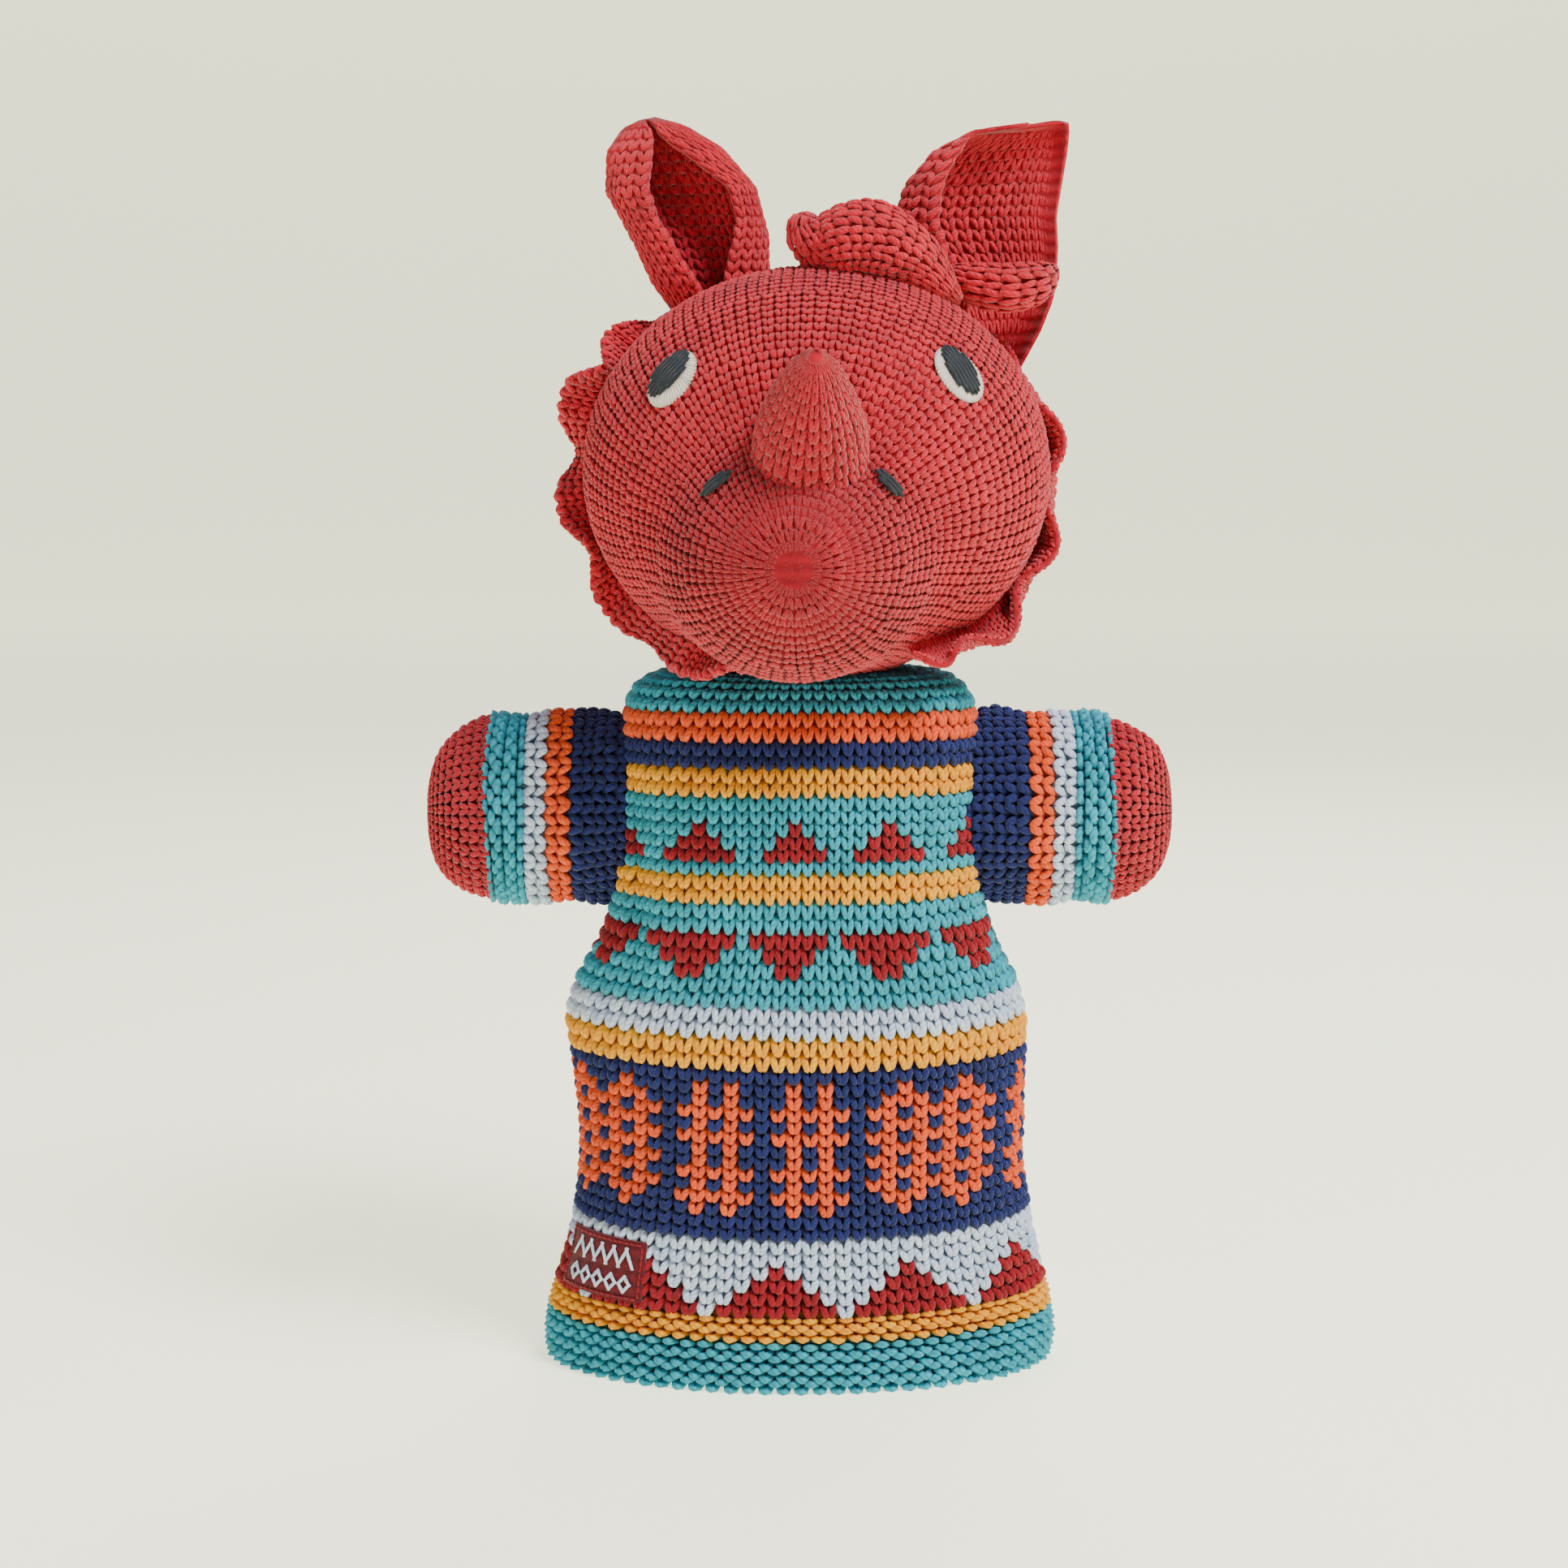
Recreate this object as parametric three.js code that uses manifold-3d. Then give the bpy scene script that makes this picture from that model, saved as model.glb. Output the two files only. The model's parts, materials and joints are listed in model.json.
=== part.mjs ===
// A knitted glove puppet: a horned beast's stuffed head on a striped gown with two short sleeves.
// Millimetres, +Z up. The puppet faces -Y and stands on its hem, so its own left arm is at +X.
import * as THREE from 'three';
import { mergeVertices } from 'three/addons/utils/BufferGeometryUtils.js';
import Module from 'manifold-3d';

const wasm = await Module();
wasm.setup();

// ---- driving dimensions -------------------------------------------------------------------------

const GAP = 0.3; // between pieces that touch
const CLOTH = 3; // thickness of the gown's double-yarn knitting
const FINE_CLOTH = 2.6; // thickness of the head's finer knitting
const GOWN_AXIS_Y = 20.7; // the gown's upright axis, so that the whole puppet is centred on the origin

// The garment's outside from the hem to the shoulders: height, half width and half depth.
const GARMENT = [
  [0, 56.2, 30.6],
  [3, 57, 31.2],
  [8, 57, 31.2],
  [11.8, 56.4, 30.9],
  [17.2, 55.4, 30.4],
  [28.6, 53, 29.6],
  [47.7, 50.2, 29],
  [64, 50, 29.3],
  [80, 50.4, 30],
  [95.4, 44.2, 30],
  [105, 40.6, 30],
  [120, 39.6, 30],
  [134, 39.3, 30],
  [146, 38.4, 29],
  [151, 37.6, 27],
  [154.3, 35, 24.8],
  [155.8, 29, 23.8],
];
const HEM_TOP = 11.8; // the hem band ends and the ridge above it starts
const RIDGE_TOP = 17.2; // the ridge ends and the plain knitting starts
const SEAM_LOW = 20; // the side seams run between these heights
const SEAM_HIGH = 98;

const SHOULDER = new THREE.Vector3(43, 0, 128); // where a sleeve swings and lifts
const SLEEVE_BALL = 22.9; // radius about the shoulder that the sleeve's root stays inside
const ARMHOLE_SEAM_END = 39; // the armhole's seam stays this near the middle, clear of a lifted sleeve
const SLEEVE_FLAT = 0.84; // a sleeve's depth over its height
const SLEEVE = [
  [-8.5, 21.2],
  [-4.5, 22.2],
  [0, 22.6],
  [9, 22.3],
  [19.5, 21.4],
]; // distance past the shoulder, half height
const CUFF_END = 28.5;
const CUFF_RADIUS = 21.6;
const MITT_RADIUS = 19.6;
const MITT_END = 43;

const NECK = new THREE.Vector3(0, 0, 180); // where the head turns, nods and tilts
const NECK_BALL = 26.6; // radius about that point of the head's neck edge
const FINGER_HOLE = 14; // radius of the way into the head
const POCKET_RADIUS = 13.5;
const POCKET_TOP = 213;
const COLLAR_RADIUS = 20.3;
const COLLAR_LOW = 148;
const COLLAR_TOP = 155.6;

const SKULL = { at: [3, -9, 205], half: [54, 50, 46] };
const MUZZLE = { at: [-1, -38, 187], half: [29, 30, 26.5] };
const HORN_BASE = new THREE.Vector3(2, -52, 203);
const HORN_TIP = new THREE.Vector3(2.5, -82, 229);
const HORN_RADIUS = 12;
const EYE = [5.6, 6.6]; // half width and half height
const PUPIL = [3.8, 4.8];
const NOSTRIL = 3.2;
const EAR_DEPTH = 8;
const EAR_CLEAR = 2.4; // room under an ear to flop
const CREST_DEPTH = 8;
const FRILL_WIDTH = 9;
const FRILL_DEPTH = 3;
const FRILL_RUFFLE = 2.4;

const YARN = {
  red: 0xc33240,
  teal: 0x60b8be,
  navy: 0x2d3a69,
  yellow: 0xf0af2d,
  maroon: 0x731923,
  white: 0xebe1d7,
  grey: 0x4b555f,
  stuffing: 0xe9e6de,
};

// ---- solids -------------------------------------------------------------------------------------

/** Leaves only the positions, with shared vertices merged. */
function bare(geometry) {
  const copy = geometry.index ? geometry.clone() : mergeVertices(geometry);
  copy.deleteAttribute('normal');
  copy.deleteAttribute('uv');
  return mergeVertices(copy, 1e-3);
}

/** Makes a solid of a closed geometry, turning its faces outward where they point in. */
function solid(geometry) {
  const merged = bare(geometry);
  const position = merged.getAttribute('position').array;
  const faces = [];
  let volume = 0;
  const at = [new THREE.Vector3(), new THREE.Vector3(), new THREE.Vector3()];
  for (let i = 0; i < merged.index.count; i += 3) {
    const corner = [0, 1, 2].map((k) => merged.index.getX(i + k));
    if (new Set(corner).size < 3) continue;
    corner.forEach((c, k) => at[k].fromArray(position, 3 * c));
    volume += at[0].dot(at[1].clone().cross(at[2]));
    faces.push(corner);
  }
  const turned = volume < 0 ? faces.map(([a, b, c]) => [a, c, b]) : faces;
  return new wasm.Manifold(new wasm.Mesh({
    numProp: 3,
    vertProperties: new Float32Array(position),
    triVerts: new Uint32Array(turned.flat()),
  }));
}

/** Turns a solid back into a geometry. */
function geometryOf(manifold) {
  const mesh = manifold.getMesh();
  const geometry = new THREE.BufferGeometry();
  geometry.setAttribute('position', new THREE.BufferAttribute(new Float32Array(mesh.vertProperties), 3));
  geometry.setIndex(new THREE.BufferAttribute(new Uint32Array(mesh.triVerts), 1));
  geometry.computeVertexNormals();
  return geometry;
}

/** An egg-shaped solid about a point. */
function egg([x, y, z], [halfX, halfY, halfZ], around = 24, up = 14) {
  const geometry = new THREE.SphereGeometry(1, around, up);
  geometry.rotateX(Math.PI / 2);
  geometry.scale(halfX, halfY, halfZ);
  geometry.translate(x, y, z);
  return solid(geometry);
}

function ball(centre, radius, around = 24, up = 14) {
  return egg(centre.toArray(), [radius, radius, radius], around, up);
}

/** An upright round bar about an axis parallel to Z. */
function upright(radius, low, high, sides = 24) {
  const geometry = new THREE.CylinderGeometry(radius, radius, high - low, sides);
  geometry.rotateX(Math.PI / 2);
  geometry.translate(0, 0, (low + high) / 2);
  return solid(geometry);
}

function block([x0, y0, z0], [x1, y1, z1]) {
  const geometry = new THREE.BoxGeometry(x1 - x0, y1 - y0, z1 - z0);
  geometry.translate((x0 + x1) / 2, (y0 + y1) / 2, (z0 + z1) / 2);
  return solid(geometry);
}

/** The garment's half width and half depth at a height. */
function garmentAt(z) {
  const found = GARMENT.findIndex(([height]) => height >= z);
  const above = found < 0 ? GARMENT.length - 1 : Math.max(1, found);
  const [low, high] = [GARMENT[above - 1], GARMENT[above]];
  const share = (z - low[0]) / (high[0] - low[0]);
  return [1, 2].map((k) => THREE.MathUtils.lerp(low[k], high[k], share));
}

/** The garment's wall between two heights, from one depth under its outside to another. */
function garmentWall(low, high, outer = 0, inner = CLOTH, segments = 32) {
  const heights = [low, ...GARMENT.map(([z]) => z).filter((z) => z > low && z < high), high];
  const rim = heights.map((z) => new THREE.Vector2(garmentAt(z)[0] - outer, z));
  const lining = heights.toReversed().map((z) => new THREE.Vector2(garmentAt(z)[0] - inner, z));
  const geometry = new THREE.LatheGeometry([...rim, ...lining, rim[0].clone()], segments);
  geometry.rotateX(Math.PI / 2);
  const position = geometry.getAttribute('position');
  for (let i = 0; i < position.count; i += 1) {
    const [halfX, halfY] = garmentAt(position.getZ(i));
    const radius = Math.hypot(position.getX(i), position.getY(i));
    const under = halfX - radius;
    position.setY(i, position.getY(i) * (halfY - under) / radius);
  }
  return solid(geometry);
}

/** The head's outside grown by some distance: the skull joined with the muzzle. */
function headGrown(by, around = 26, up = 16) {
  const [skull, muzzle] = [SKULL, MUZZLE].map(({ at, half }) => egg(at, half.map((h) => h + by), around, up));
  return skull.add(muzzle);
}

/** The point of the skull or muzzle in front of (x, z), and the way out there. */
function faceAt(x, z, { at, half }) {
  const dx = (x - at[0]) / half[0];
  const dz = (z - at[2]) / half[2];
  const dy = -Math.sqrt(1 - dx * dx - dz * dz);
  const point = new THREE.Vector3(x, at[1] + half[1] * dy, z);
  return { point, out: new THREE.Vector3(dx / half[0], dy / half[1], dz / half[2]).normalize() };
}

/** A flat outline pushed through the head's face, leaning by some angle. */
function throughFace(shape, { point, out }, lean = 0) {
  const geometry = new THREE.ExtrudeGeometry(shape, { depth: 16, bevelEnabled: false, curveSegments: 7 });
  geometry.translate(0, 0, -8);
  geometry.rotateZ(lean);
  const right = new THREE.Vector3(0, 0, 1).cross(out).normalize();
  const top = out.clone().cross(right);
  geometry.applyMatrix4(new THREE.Matrix4().makeBasis(right, top, out).setPosition(point));
  return solid(geometry);
}

function oval(halfX, halfY) {
  return new THREE.Shape().absellipse(0, 0, halfX, halfY, 0, 2 * Math.PI);
}

/** A solid turned about the X axis, given as distances along it and radii. */
function turned(profile, flat, segments = 22) {
  const geometry = new THREE.LatheGeometry(profile.map(([along, radius]) => new THREE.Vector2(radius, along)), segments);
  geometry.rotateZ(-Math.PI / 2);
  geometry.scale(1, flat, 1);
  return solid(geometry);
}

// ---- the puppet ---------------------------------------------------------------------------------

const group = new THREE.Group();
group.position.y = GOWN_AXIS_Y;

/** Adds a named piece in its own yarn or cloth. */
function piece(name, manifold, colour, roughness = 0.95) {
  const material = new THREE.MeshStandardMaterial({ color: colour, roughness, metalness: 0 });
  const mesh = new THREE.Mesh(geometryOf(manifold), material);
  mesh.name = name;
  group.add(mesh);
}

const head = headGrown(0);

/** A piece lying on the head's cloth, between two heights over it. */
function onHead(cut, low, high) {
  return cut.intersect(headGrown(high)).subtract(headGrown(low));
}

/** The gown: garter hem, garter ridge, knitted tube with two armholes, seams and label. */
function makeGown() {
  piece('hem_band', garmentWall(0, HEM_TOP - GAP / 2, 0, CLOTH + 1), YARN.teal);
  piece('hem_ridge', garmentWall(HEM_TOP + GAP / 2, RIDGE_TOP - GAP / 2), YARN.yellow);
  let gown = garmentWall(RIDGE_TOP + GAP / 2, GARMENT.at(-1)[0]);
  for (const side of [-1, 1]) {
    const shoulder = new THREE.Vector3(side * SHOULDER.x, SHOULDER.y, SHOULDER.z);
    gown = gown.subtract(ball(shoulder, SLEEVE_BALL + 1.8));
  }
  piece('gown', gown, YARN.navy);
  for (const [name, side] of [['left', -1], ['right', 1]]) {
    const strip = block([side < 0 ? -60 : 20, -1.4, SEAM_LOW], [side < 0 ? -20 : 60, 1.4, SEAM_HIGH]);
    piece(`side_seam_${name}`, garmentWall(SEAM_LOW - 2, SEAM_HIGH + 2, CLOTH + GAP, CLOTH + 1.8)
      .intersect(strip), YARN.navy);
  }
}

/** The woven label sewn low on the gown's front, and the stitches round its edge. */
function makeLabel() {
  const facing = new THREE.Matrix4().makeRotationZ(-0.72).setPosition(-41.5, -19, 26);
  const plate = (width, height) => {
    const geometry = new THREE.BoxGeometry(width, 14, height);
    geometry.applyMatrix4(facing.clone().multiply(new THREE.Matrix4().makeRotationY(0.12)));
    return solid(geometry);
  };
  const layer = (low, high) => garmentWall(RIDGE_TOP, 47, -high, -low);
  const edge = plate(20.6, 11.6).subtract(plate(19.2, 10.2));
  piece('label', layer(GAP, 1.1).intersect(plate(22, 13)), YARN.maroon, 0.7);
  piece('label_stitches', layer(1.1 + GAP, 1.9).intersect(edge), YARN.maroon, 0.7);
}

/** A sleeve on its shoulder: armhole seam, knitted tube, garter cuff, mitt and its padding. */
function makeArm(name, side) {
  const place = (manifold) => {
    const arm = manifold.translate([SHOULDER.x, SHOULDER.y, SHOULDER.z]);
    return side < 0 ? arm.mirror([1, 0, 0]) : arm;
  };
  const tube = (rim, wall) => {
    const lining = rim.toReversed().map(([along, radius]) => [along, radius - wall]);
    return place(turned([...rim, ...lining, rim[0]], SLEEVE_FLAT));
  };
  const centre = new THREE.Vector3(side * SHOULDER.x, SHOULDER.y, SHOULDER.z);
  const ring = ball(centre, SLEEVE_BALL + 1.4).subtract(ball(centre, SLEEVE_BALL + GAP));
  const reach = [5, ARMHOLE_SEAM_END].map((x) => side * x).sort((a, b) => a - b);
  const half = block([reach[0], -40, 90], [reach[1], 40, 160]);
  piece(`armhole_seam_${name}`, ring.intersect(garmentWall(95, 155)).intersect(half), YARN.navy);
  piece(`sleeve_${name}`, tube(SLEEVE, CLOTH), YARN.navy);
  const cuffStart = SLEEVE.at(-1)[0] + GAP;
  piece(`cuff_${name}`, tube([
    [cuffStart, CUFF_RADIUS - 0.6],
    [cuffStart + 1, CUFF_RADIUS],
    [CUFF_END - 1, CUFF_RADIUS],
    [CUFF_END, CUFF_RADIUS - 0.6],
  ], CLOTH), YARN.teal);
  const dome = (start, end, radius, steps) => Array.from({ length: steps + 1 }, (_, i) => {
    const turn = (i / steps) * (Math.PI / 2);
    return [start + (end - start) * Math.sin(turn), i === steps ? 0 : radius * Math.cos(turn) ** 0.8];
  });
  const start = CUFF_END + GAP;
  const outside = dome(start, MITT_END, MITT_RADIUS, 5);
  const inside = dome(start, MITT_END - FINE_CLOTH, MITT_RADIUS - FINE_CLOTH, 5).toReversed();
  piece(`mitt_${name}`, place(turned([...outside, ...inside, outside[0]], SLEEVE_FLAT)), YARN.red);
  const padding = egg([MITT_END - 7, 0, 0], [3.4, 8.4, 10.4], 14, 8);
  piece(`mitt_padding_${name}`, place(padding), YARN.stuffing);
}

/** The neck: a collar in the gown's mouth and the seam that joins the head to it. */
function makeNeck() {
  const bore = upright(FINGER_HOLE + GAP, COLLAR_LOW - 5, COLLAR_TOP + 20);
  const collar = upright(COLLAR_RADIUS, COLLAR_LOW, COLLAR_TOP).subtract(bore);
  piece('neck_collar', collar.subtract(ball(NECK, NECK_BALL + 2.4)), YARN.teal);
  const shell = ball(NECK, NECK_BALL + 1.9).subtract(ball(NECK, NECK_BALL + 3 * GAP));
  const rim = upright(FINGER_HOLE + 2, COLLAR_LOW, NECK.z - 10).subtract(bore);
  piece('neck_seam', shell.intersect(rim), YARN.red);
}

/** The head: knitted cover, stuffing with the finger pocket in it, and the drawn-up muzzle end. */
function makeHead() {
  const neckEdge = upright(FINGER_HOLE + 3, 150, 170).intersect(ball(NECK, NECK_BALL));
  const way = upright(FINGER_HOLE, 140, 176);
  piece('head_cover', head.add(neckEdge).subtract(headGrown(-FINE_CLOTH, 20, 12)).subtract(way), YARN.red);
  const pocketSpace = upright(POCKET_RADIUS + GAP, 140, POCKET_TOP + GAP, 24);
  piece('head_stuffing', headGrown(-FINE_CLOTH - GAP, 20, 12).subtract(pocketSpace), YARN.stuffing);
  const pocket = upright(POCKET_RADIUS, NECK.z - 22.5, POCKET_TOP, 24);
  piece('finger_pocket', pocket.subtract(upright(POCKET_RADIUS - 1.6, 150, POCKET_TOP - 2, 24)), YARN.red);
  const end = throughFace(oval(2.6, 2.6), faceAt(-1.7, 184.8, MUZZLE));
  piece('muzzle_gather', onHead(end, GAP, 1.4), YARN.red);
}

/** The stuffed horn over the muzzle. */
function makeHorn() {
  const length = HORN_TIP.distanceTo(HORN_BASE);
  const cone = (shrink) => {
    const points = [];
    for (let i = 0; i <= 6; i += 1) {
      const share = i / 6;
      const radius = (HORN_RADIUS - shrink) * (1 - share ** 1.9) ** 0.75;
      points.push(new THREE.Vector2(i === 6 ? 0 : radius, share * (length - shrink)));
    }
    const geometry = new THREE.LatheGeometry([new THREE.Vector2(0, 0), ...points], 16);
    const along = HORN_TIP.clone().sub(HORN_BASE).normalize();
    geometry.applyQuaternion(new THREE.Quaternion().setFromUnitVectors(new THREE.Vector3(0, 1, 0), along));
    geometry.translate(...HORN_BASE.toArray());
    return solid(geometry);
  };
  const outside = cone(0).subtract(headGrown(GAP));
  piece('nose_horn', outside.subtract(cone(1.8)), YARN.red);
  piece('horn_stuffing', cone(1.8 + GAP).subtract(headGrown(2 * GAP)), YARN.stuffing);
}

/** Embroidered eyes and nostrils. */
function makeFace() {
  for (const [name, x, z, lean] of [['left', -28.4, 225.7, -0.45], ['right', 34.2, 226, 0.45]]) {
    const spot = faceAt(x, z, SKULL);
    piece(`eye_white_${name}`, onHead(throughFace(oval(...EYE), spot, lean), GAP, 1.5), YARN.white);
    piece(`pupil_${name}`, onHead(throughFace(oval(...PUPIL), spot, lean), 1.5 + GAP, 2.8), YARN.grey);
  }
  const crescent = new THREE.Shape()
    .absarc(0, 0, NOSTRIL, 0, Math.PI)
    .absarc(0, -0.6, NOSTRIL * 0.98, Math.PI, 0, true);
  for (const [name, x, lean] of [['left', -14.7, 0.7], ['right', 16.5, -0.7]]) {
    piece(`nostril_${name}`, onHead(throughFace(crescent, faceAt(x, 201, SKULL), lean), GAP, 1.6), YARN.grey);
  }
}

/** A flat padded shape standing on the head in an X-Z plane. */
function standing(outline, y, depth, clear) {
  const geometry = new THREE.ExtrudeGeometry(outline, {
    depth: depth - 2, bevelThickness: 1, bevelSize: 1, bevelSegments: 1, curveSegments: 5,
  });
  geometry.rotateX(Math.PI / 2);
  geometry.translate(0, y + depth / 2 - 1, 0);
  return solid(geometry).subtract(headGrown(clear));
}

/** The two leaf-shaped ears and the crest between them. */
function makeEars() {
  const left = new THREE.Shape()
    .moveTo(-27, 236)
    .quadraticCurveTo(-35, 254, -44, 266)
    .quadraticCurveTo(-47, 280, -35, 285.6)
    .quadraticCurveTo(-22, 284, -13, 266)
    .lineTo(-9, 246);
  piece('ear_left', standing(left, 3, EAR_DEPTH, EAR_CLEAR), YARN.red);
  const right = new THREE.Shape()
    .moveTo(36, 232)
    .quadraticCurveTo(29, 256, 24, 262)
    .quadraticCurveTo(28, 282, 48, 284.4)
    .lineTo(60, 283)
    .quadraticCurveTo(57, 262, 58, 252)
    .quadraticCurveTo(57, 240, 50, 232);
  piece('ear_right', standing(right, 3, EAR_DEPTH, EAR_CLEAR), YARN.red);
  const crest = new THREE.Shape()
    .moveTo(3, 244)
    .quadraticCurveTo(-2, 262, 6, 263)
    .quadraticCurveTo(12, 263, 16, 261)
    .quadraticCurveTo(30, 262, 33, 248)
    .lineTo(31, 238);
  piece('crest', standing(crest, -20, CREST_DEPTH, 1.8), YARN.red);
}

/** A ruffled strip standing out round one cheek. */
function makeFrill(name, from, to) {
  const steps = 30;
  const scallops = 5;
  const section = [[-1.5, -1], [1, -1], [1, 1], [-1.5, 1]];
  const corners = [];
  for (let i = 0; i <= steps; i += 1) {
    const share = i / steps;
    const angle = THREE.MathUtils.degToRad(THREE.MathUtils.lerp(from, to, share));
    const wave = 2 * Math.PI * scallops * share;
    const ends = Math.min(1, 6 * share + 0.35, 6 * (1 - share) + 0.35);
    const width = FRILL_WIDTH * ends * (0.86 + 0.14 * Math.cos(wave));
    const out = new THREE.Vector3(Math.cos(angle) / SKULL.half[0], 0, Math.sin(angle) / SKULL.half[2]).normalize();
    for (const [along, across] of section) {
      const reach = along > 0 ? width : along;
      const sway = along > 0 ? FRILL_RUFFLE * Math.sin(wave) : 0;
      corners.push(new THREE.Vector3(
        SKULL.at[0] + SKULL.half[0] * Math.cos(angle) + out.x * reach,
        SKULL.at[1] + 6 + sway + across * FRILL_DEPTH / 2,
        SKULL.at[2] + SKULL.half[2] * Math.sin(angle) + out.z * reach,
      ));
    }
  }
  const faces = [[0, 1, 2], [0, 2, 3]];
  for (let i = 0; i < steps; i += 1) {
    for (let k = 0; k < 4; k += 1) {
      const [a, b] = [4 * i + k, 4 * i + (k + 1) % 4];
      faces.push([a, a + 4, b], [b, a + 4, b + 4]);
    }
  }
  const last = 4 * steps;
  faces.push([last, last + 2, last + 1], [last, last + 3, last + 2]);
  const geometry = new THREE.BufferGeometry().setFromPoints(corners);
  geometry.setIndex(faces.flat());
  piece(`frill_${name}`, solid(geometry).subtract(headGrown(GAP)), YARN.red);
}

makeGown();
makeLabel();
makeArm('left', -1);
makeArm('right', 1);
makeNeck();
makeHead();
makeHorn();
makeFace();
makeEars();
makeFrill('left', 128, 230);
makeFrill('right', 30, -50);

export default group;
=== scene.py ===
"""A knitted glove puppet: a horned beast's head on a patterned gown with two short sleeves.

Every stitch is a piece of yarn laid over a smooth surface. A surface is read in stitches: one unit of
``across`` is a column of knitting, one unit of ``along`` is a row, and the point that comes back is in
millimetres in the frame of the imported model. Meshes are made in metres.
"""

import json
import logging
import math
from dataclasses import dataclass
from enum import Enum
from typing import Callable, Optional, Sequence

import bpy
import numpy as np
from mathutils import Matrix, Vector


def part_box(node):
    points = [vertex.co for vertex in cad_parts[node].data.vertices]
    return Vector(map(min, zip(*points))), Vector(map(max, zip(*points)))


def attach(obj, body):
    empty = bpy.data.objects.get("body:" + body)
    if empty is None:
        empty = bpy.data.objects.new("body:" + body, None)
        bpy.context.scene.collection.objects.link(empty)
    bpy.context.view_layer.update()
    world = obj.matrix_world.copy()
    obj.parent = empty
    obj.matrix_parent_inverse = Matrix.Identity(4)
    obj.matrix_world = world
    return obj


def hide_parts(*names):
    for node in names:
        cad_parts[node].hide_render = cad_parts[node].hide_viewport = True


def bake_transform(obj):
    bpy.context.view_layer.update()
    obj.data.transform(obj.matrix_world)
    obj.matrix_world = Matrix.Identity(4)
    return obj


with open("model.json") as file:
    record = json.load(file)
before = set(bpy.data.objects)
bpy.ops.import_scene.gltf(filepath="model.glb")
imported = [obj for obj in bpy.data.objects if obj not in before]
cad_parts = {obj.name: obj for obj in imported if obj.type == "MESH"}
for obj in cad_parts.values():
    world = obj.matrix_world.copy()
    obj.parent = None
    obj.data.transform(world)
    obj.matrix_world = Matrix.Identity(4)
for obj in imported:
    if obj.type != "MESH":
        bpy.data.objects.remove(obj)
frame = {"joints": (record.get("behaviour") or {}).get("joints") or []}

log = logging.getLogger("puppet")

MM = 0.001
ArrayF = np.ndarray


# ---- yarns and finishes ---------------------------------------------------------------------------


def linear(red: float, green: float, blue: float) -> tuple[float, float, float]:
    """Turns a colour given as 0 to 255 per channel into the linear colour that a shader takes."""
    share = [channel / 255 for channel in (red, green, blue)]
    return tuple(c / 12.92 if c <= 0.04045 else ((c + 0.055) / 1.055) ** 2.4 for c in share)


class Yarn(Enum):
    """The dyed yarns that the puppet is made of."""

    TEAL = linear(44, 168, 190)
    NAVY = linear(24, 36, 100)
    ORANGE = linear(246, 90, 34)
    YELLOW = linear(255, 172, 0)
    WHITE = linear(208, 226, 250)
    RED = linear(190, 4, 36)
    HEAD_RED = linear(208, 6, 42)
    DARK_RED = linear(152, 4, 26)
    EYE_WHITE = linear(236, 226, 212)
    SLATE = linear(40, 46, 54)
    MAROON = linear(110, 20, 32)
    FILLING = linear(236, 230, 216)


@dataclass(frozen=True)
class Term:
    """A shader value that takes Python's arithmetic signs, each adding one Math node."""

    tree: bpy.types.NodeTree
    socket: object

    def _math(self, operation: str, *values: object) -> "Term":
        node = self.tree.nodes.new("ShaderNodeMath")
        node.operation = operation
        for plug, value in zip(node.inputs, values):
            if isinstance(value, Term):
                self.tree.links.new(value.socket, plug)
            else:
                plug.default_value = value
        return Term(self.tree, node.outputs[0])

    def __add__(self, other: object) -> "Term":
        """Adds."""
        return self._math("ADD", self, other)

    __radd__ = __add__

    def __mul__(self, other: object) -> "Term":
        """Multiplies."""
        return self._math("MULTIPLY", self, other)

    __rmul__ = __mul__

    def __sub__(self, other: object) -> "Term":
        """Subtracts the other from this."""
        return self._math("SUBTRACT", self, other)

    def __rsub__(self, other: object) -> "Term":
        """Subtracts this from the other."""
        return self._math("SUBTRACT", other, self)

    def sine(self) -> "Term":
        """The sine of the value, in radians."""
        return self._math("SINE", self)

    def power(self, exponent: float) -> "Term":
        """The value raised to a power."""
        return self._math("POWER", self, exponent)


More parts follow.
